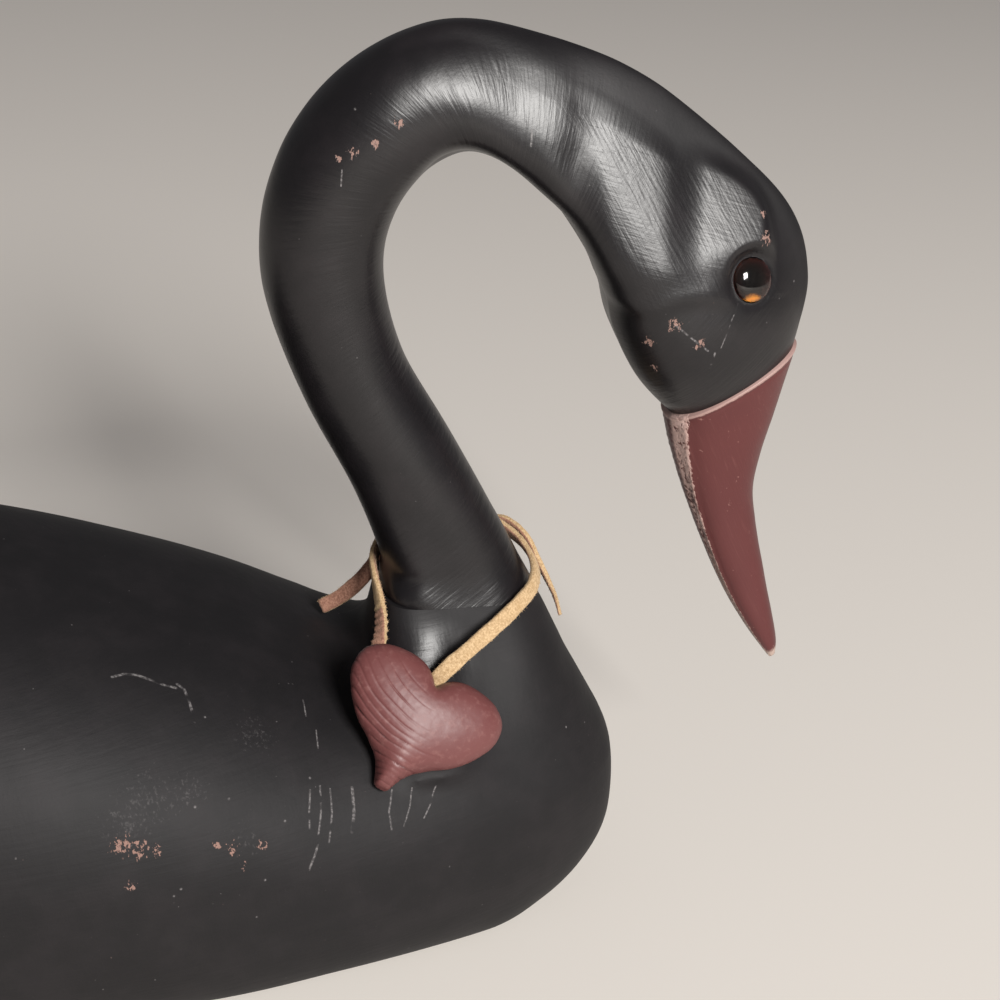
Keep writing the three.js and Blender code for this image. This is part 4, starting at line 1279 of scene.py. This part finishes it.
def iris_paint(side):
    """A dark red-brown iris round a black pupil, with a painted amber glow of focused light towards its foot
    that also emits light of its own.
    """
    _, _, centre, axes = eyes[side]
    look = Look(f"eye_iris_{SIDE_WORDS[side]}", Roughness=0.6, IOR=1.2, Emission_Color=shade(255, 176, 70))
    place = look.place()
    off = look.vector("SUBTRACT", place, (centre * MM).tolist())
    across, up = (look.vector("DOT_PRODUCT", off, axes[:, axis].tolist(), number=True) for axis in (0, 1))
    radius = look.math("SQRT", look.math("ADD", look.times(across, across), look.times(up, up)))
    rays = look.noise(place, 2400, 3, 0.7)
    wide = look.times(across, across, 150.0)
    # Painted light: the amber patch towards the iris's foot stands for light that the glass dome focuses
    # there
    low = look.step(look.scaled(rays, 0.0014, look.math("ADD", up, wide)), -0.0022, -0.0038)
    low = look.times(low, look.step(radius, 0.0053, 0.0045))
    colour = look.mix(look.step(radius, 0.0030, 0.0054), shade(12, 5, 4), shade(44, 14, 12))
    colour = look.mix(low, colour, shade(228, 150, 58))
    colour = look.mix(look.step(radius, 0.0050, 0.0056), colour, shade(70, 22, 20))
    colour = look.mix(look.step(radius, 0.0029, 0.0025), colour, shade(3, 2, 2))
    # The painted amber patch also emits light of its own, though it is no lamp
    painted_glow = look.times(low, look.step(radius, 0.0026, 0.0032), 0.12)
    look.set(Base_Color=colour, Emission_Strength=painted_glow)
    return look


slotted(neck, black_paint(
    "black_paint_neck", tree_of(neck), NECK_SCRATCHES, NECK_SCUFFS, [], NECK_DOTS,
    neck_strokes, neck_gloss, 1.45,
))
slotted(body, black_paint(
    "black_paint_body", body_tree, BODY_SCRATCHES, BODY_SCUFFS, BODY_HAZE_AND_SHEEN_PATCHES, BODY_DOTS,
    body_strokes, body_gloss, 1.39,
))
slotted(bill, bill_paint())
slotted(heart, heart_paint())
slotted(lace, suede())
slotted(nap, suede_nap())
glass = eye_glass()
for side, (lens, iris, *_) in eyes.items():
    slotted(lens, glass)
    slotted(iris, iris_paint(side))

# What each piece stands for
for piece, node, slot in (
    (body, "body", "black_wood"), (neck, "neck_and_head", "black_wood"), (bill, "bill", "maroon_wood"),
    (heart, "heart_pendant", "heart_wood"), (lace, "suede_lace", "suede"),
    (eyes[RIGHT][0], "eye_right", "eye_glass"), (eyes[LEFT][0], "eye_left", "eye_glass"),
):
    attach(piece, "root")
    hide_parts(node)
for piece, slot in ((nap, "suede"), (eyes[RIGHT][1], "eye_glass"), (eyes[LEFT][1], "eye_glass")):
    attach(piece, "root")

# Floor and light
FLOOR_HALF, FLOOR_Z = 3000, -0.15
KEY_BEARING, KEY_HEIGHT, KEY_AIM = math.radians(19), math.radians(30), Vector((120, 0, 130))
KEY_DISTANCE, KEY_SIZE, KEY_POWER, KEY_COLOUR = 3200, 950, 156, (1, 0.98, 0.95)
SKY_COLOUR, SKY_STRENGTH = shade(236, 234, 238), 0.16


def make_floor():
    corners = [(x * FLOOR_HALF, y * FLOOR_HALF, FLOOR_Z) for x, y in ((-1, -1), (1, -1), (1, 1), (-1, 1))]
    made = mesh_object("floor", corners, [(0, 1, 2, 3)])
    slotted(made, Look("pale_floor", Base_Color=shade(232, 226, 219), Roughness=0.75))
    return made


def key_light():
    """A square light, ahead of the swan's right side and above it."""
    data = bpy.data.lights.new("key", "AREA")
    data.shape = "RECTANGLE"
    data.size = data.size_y = KEY_SIZE * MM
    data.energy = KEY_POWER
    data.color = KEY_COLOUR
    made = bpy.data.objects.new("key", data)
    way = Vector(facing(KEY_BEARING, KEY_HEIGHT)[:, 2])
    made.location = (KEY_AIM + way * KEY_DISTANCE) * MM
    made.rotation_euler = way.to_track_quat("Z", "Y").to_euler()
    bpy.context.scene.collection.objects.link(made)


floor = make_floor()
key_light()

world = bpy.data.worlds.new("studio")
world.use_nodes = True
sky = world.node_tree.nodes["Background"].inputs
sky["Color"].default_value, sky["Strength"].default_value = SKY_COLOUR, SKY_STRENGTH
bpy.context.scene.world = world
bpy.context.scene.view_settings.view_transform = "Standard"
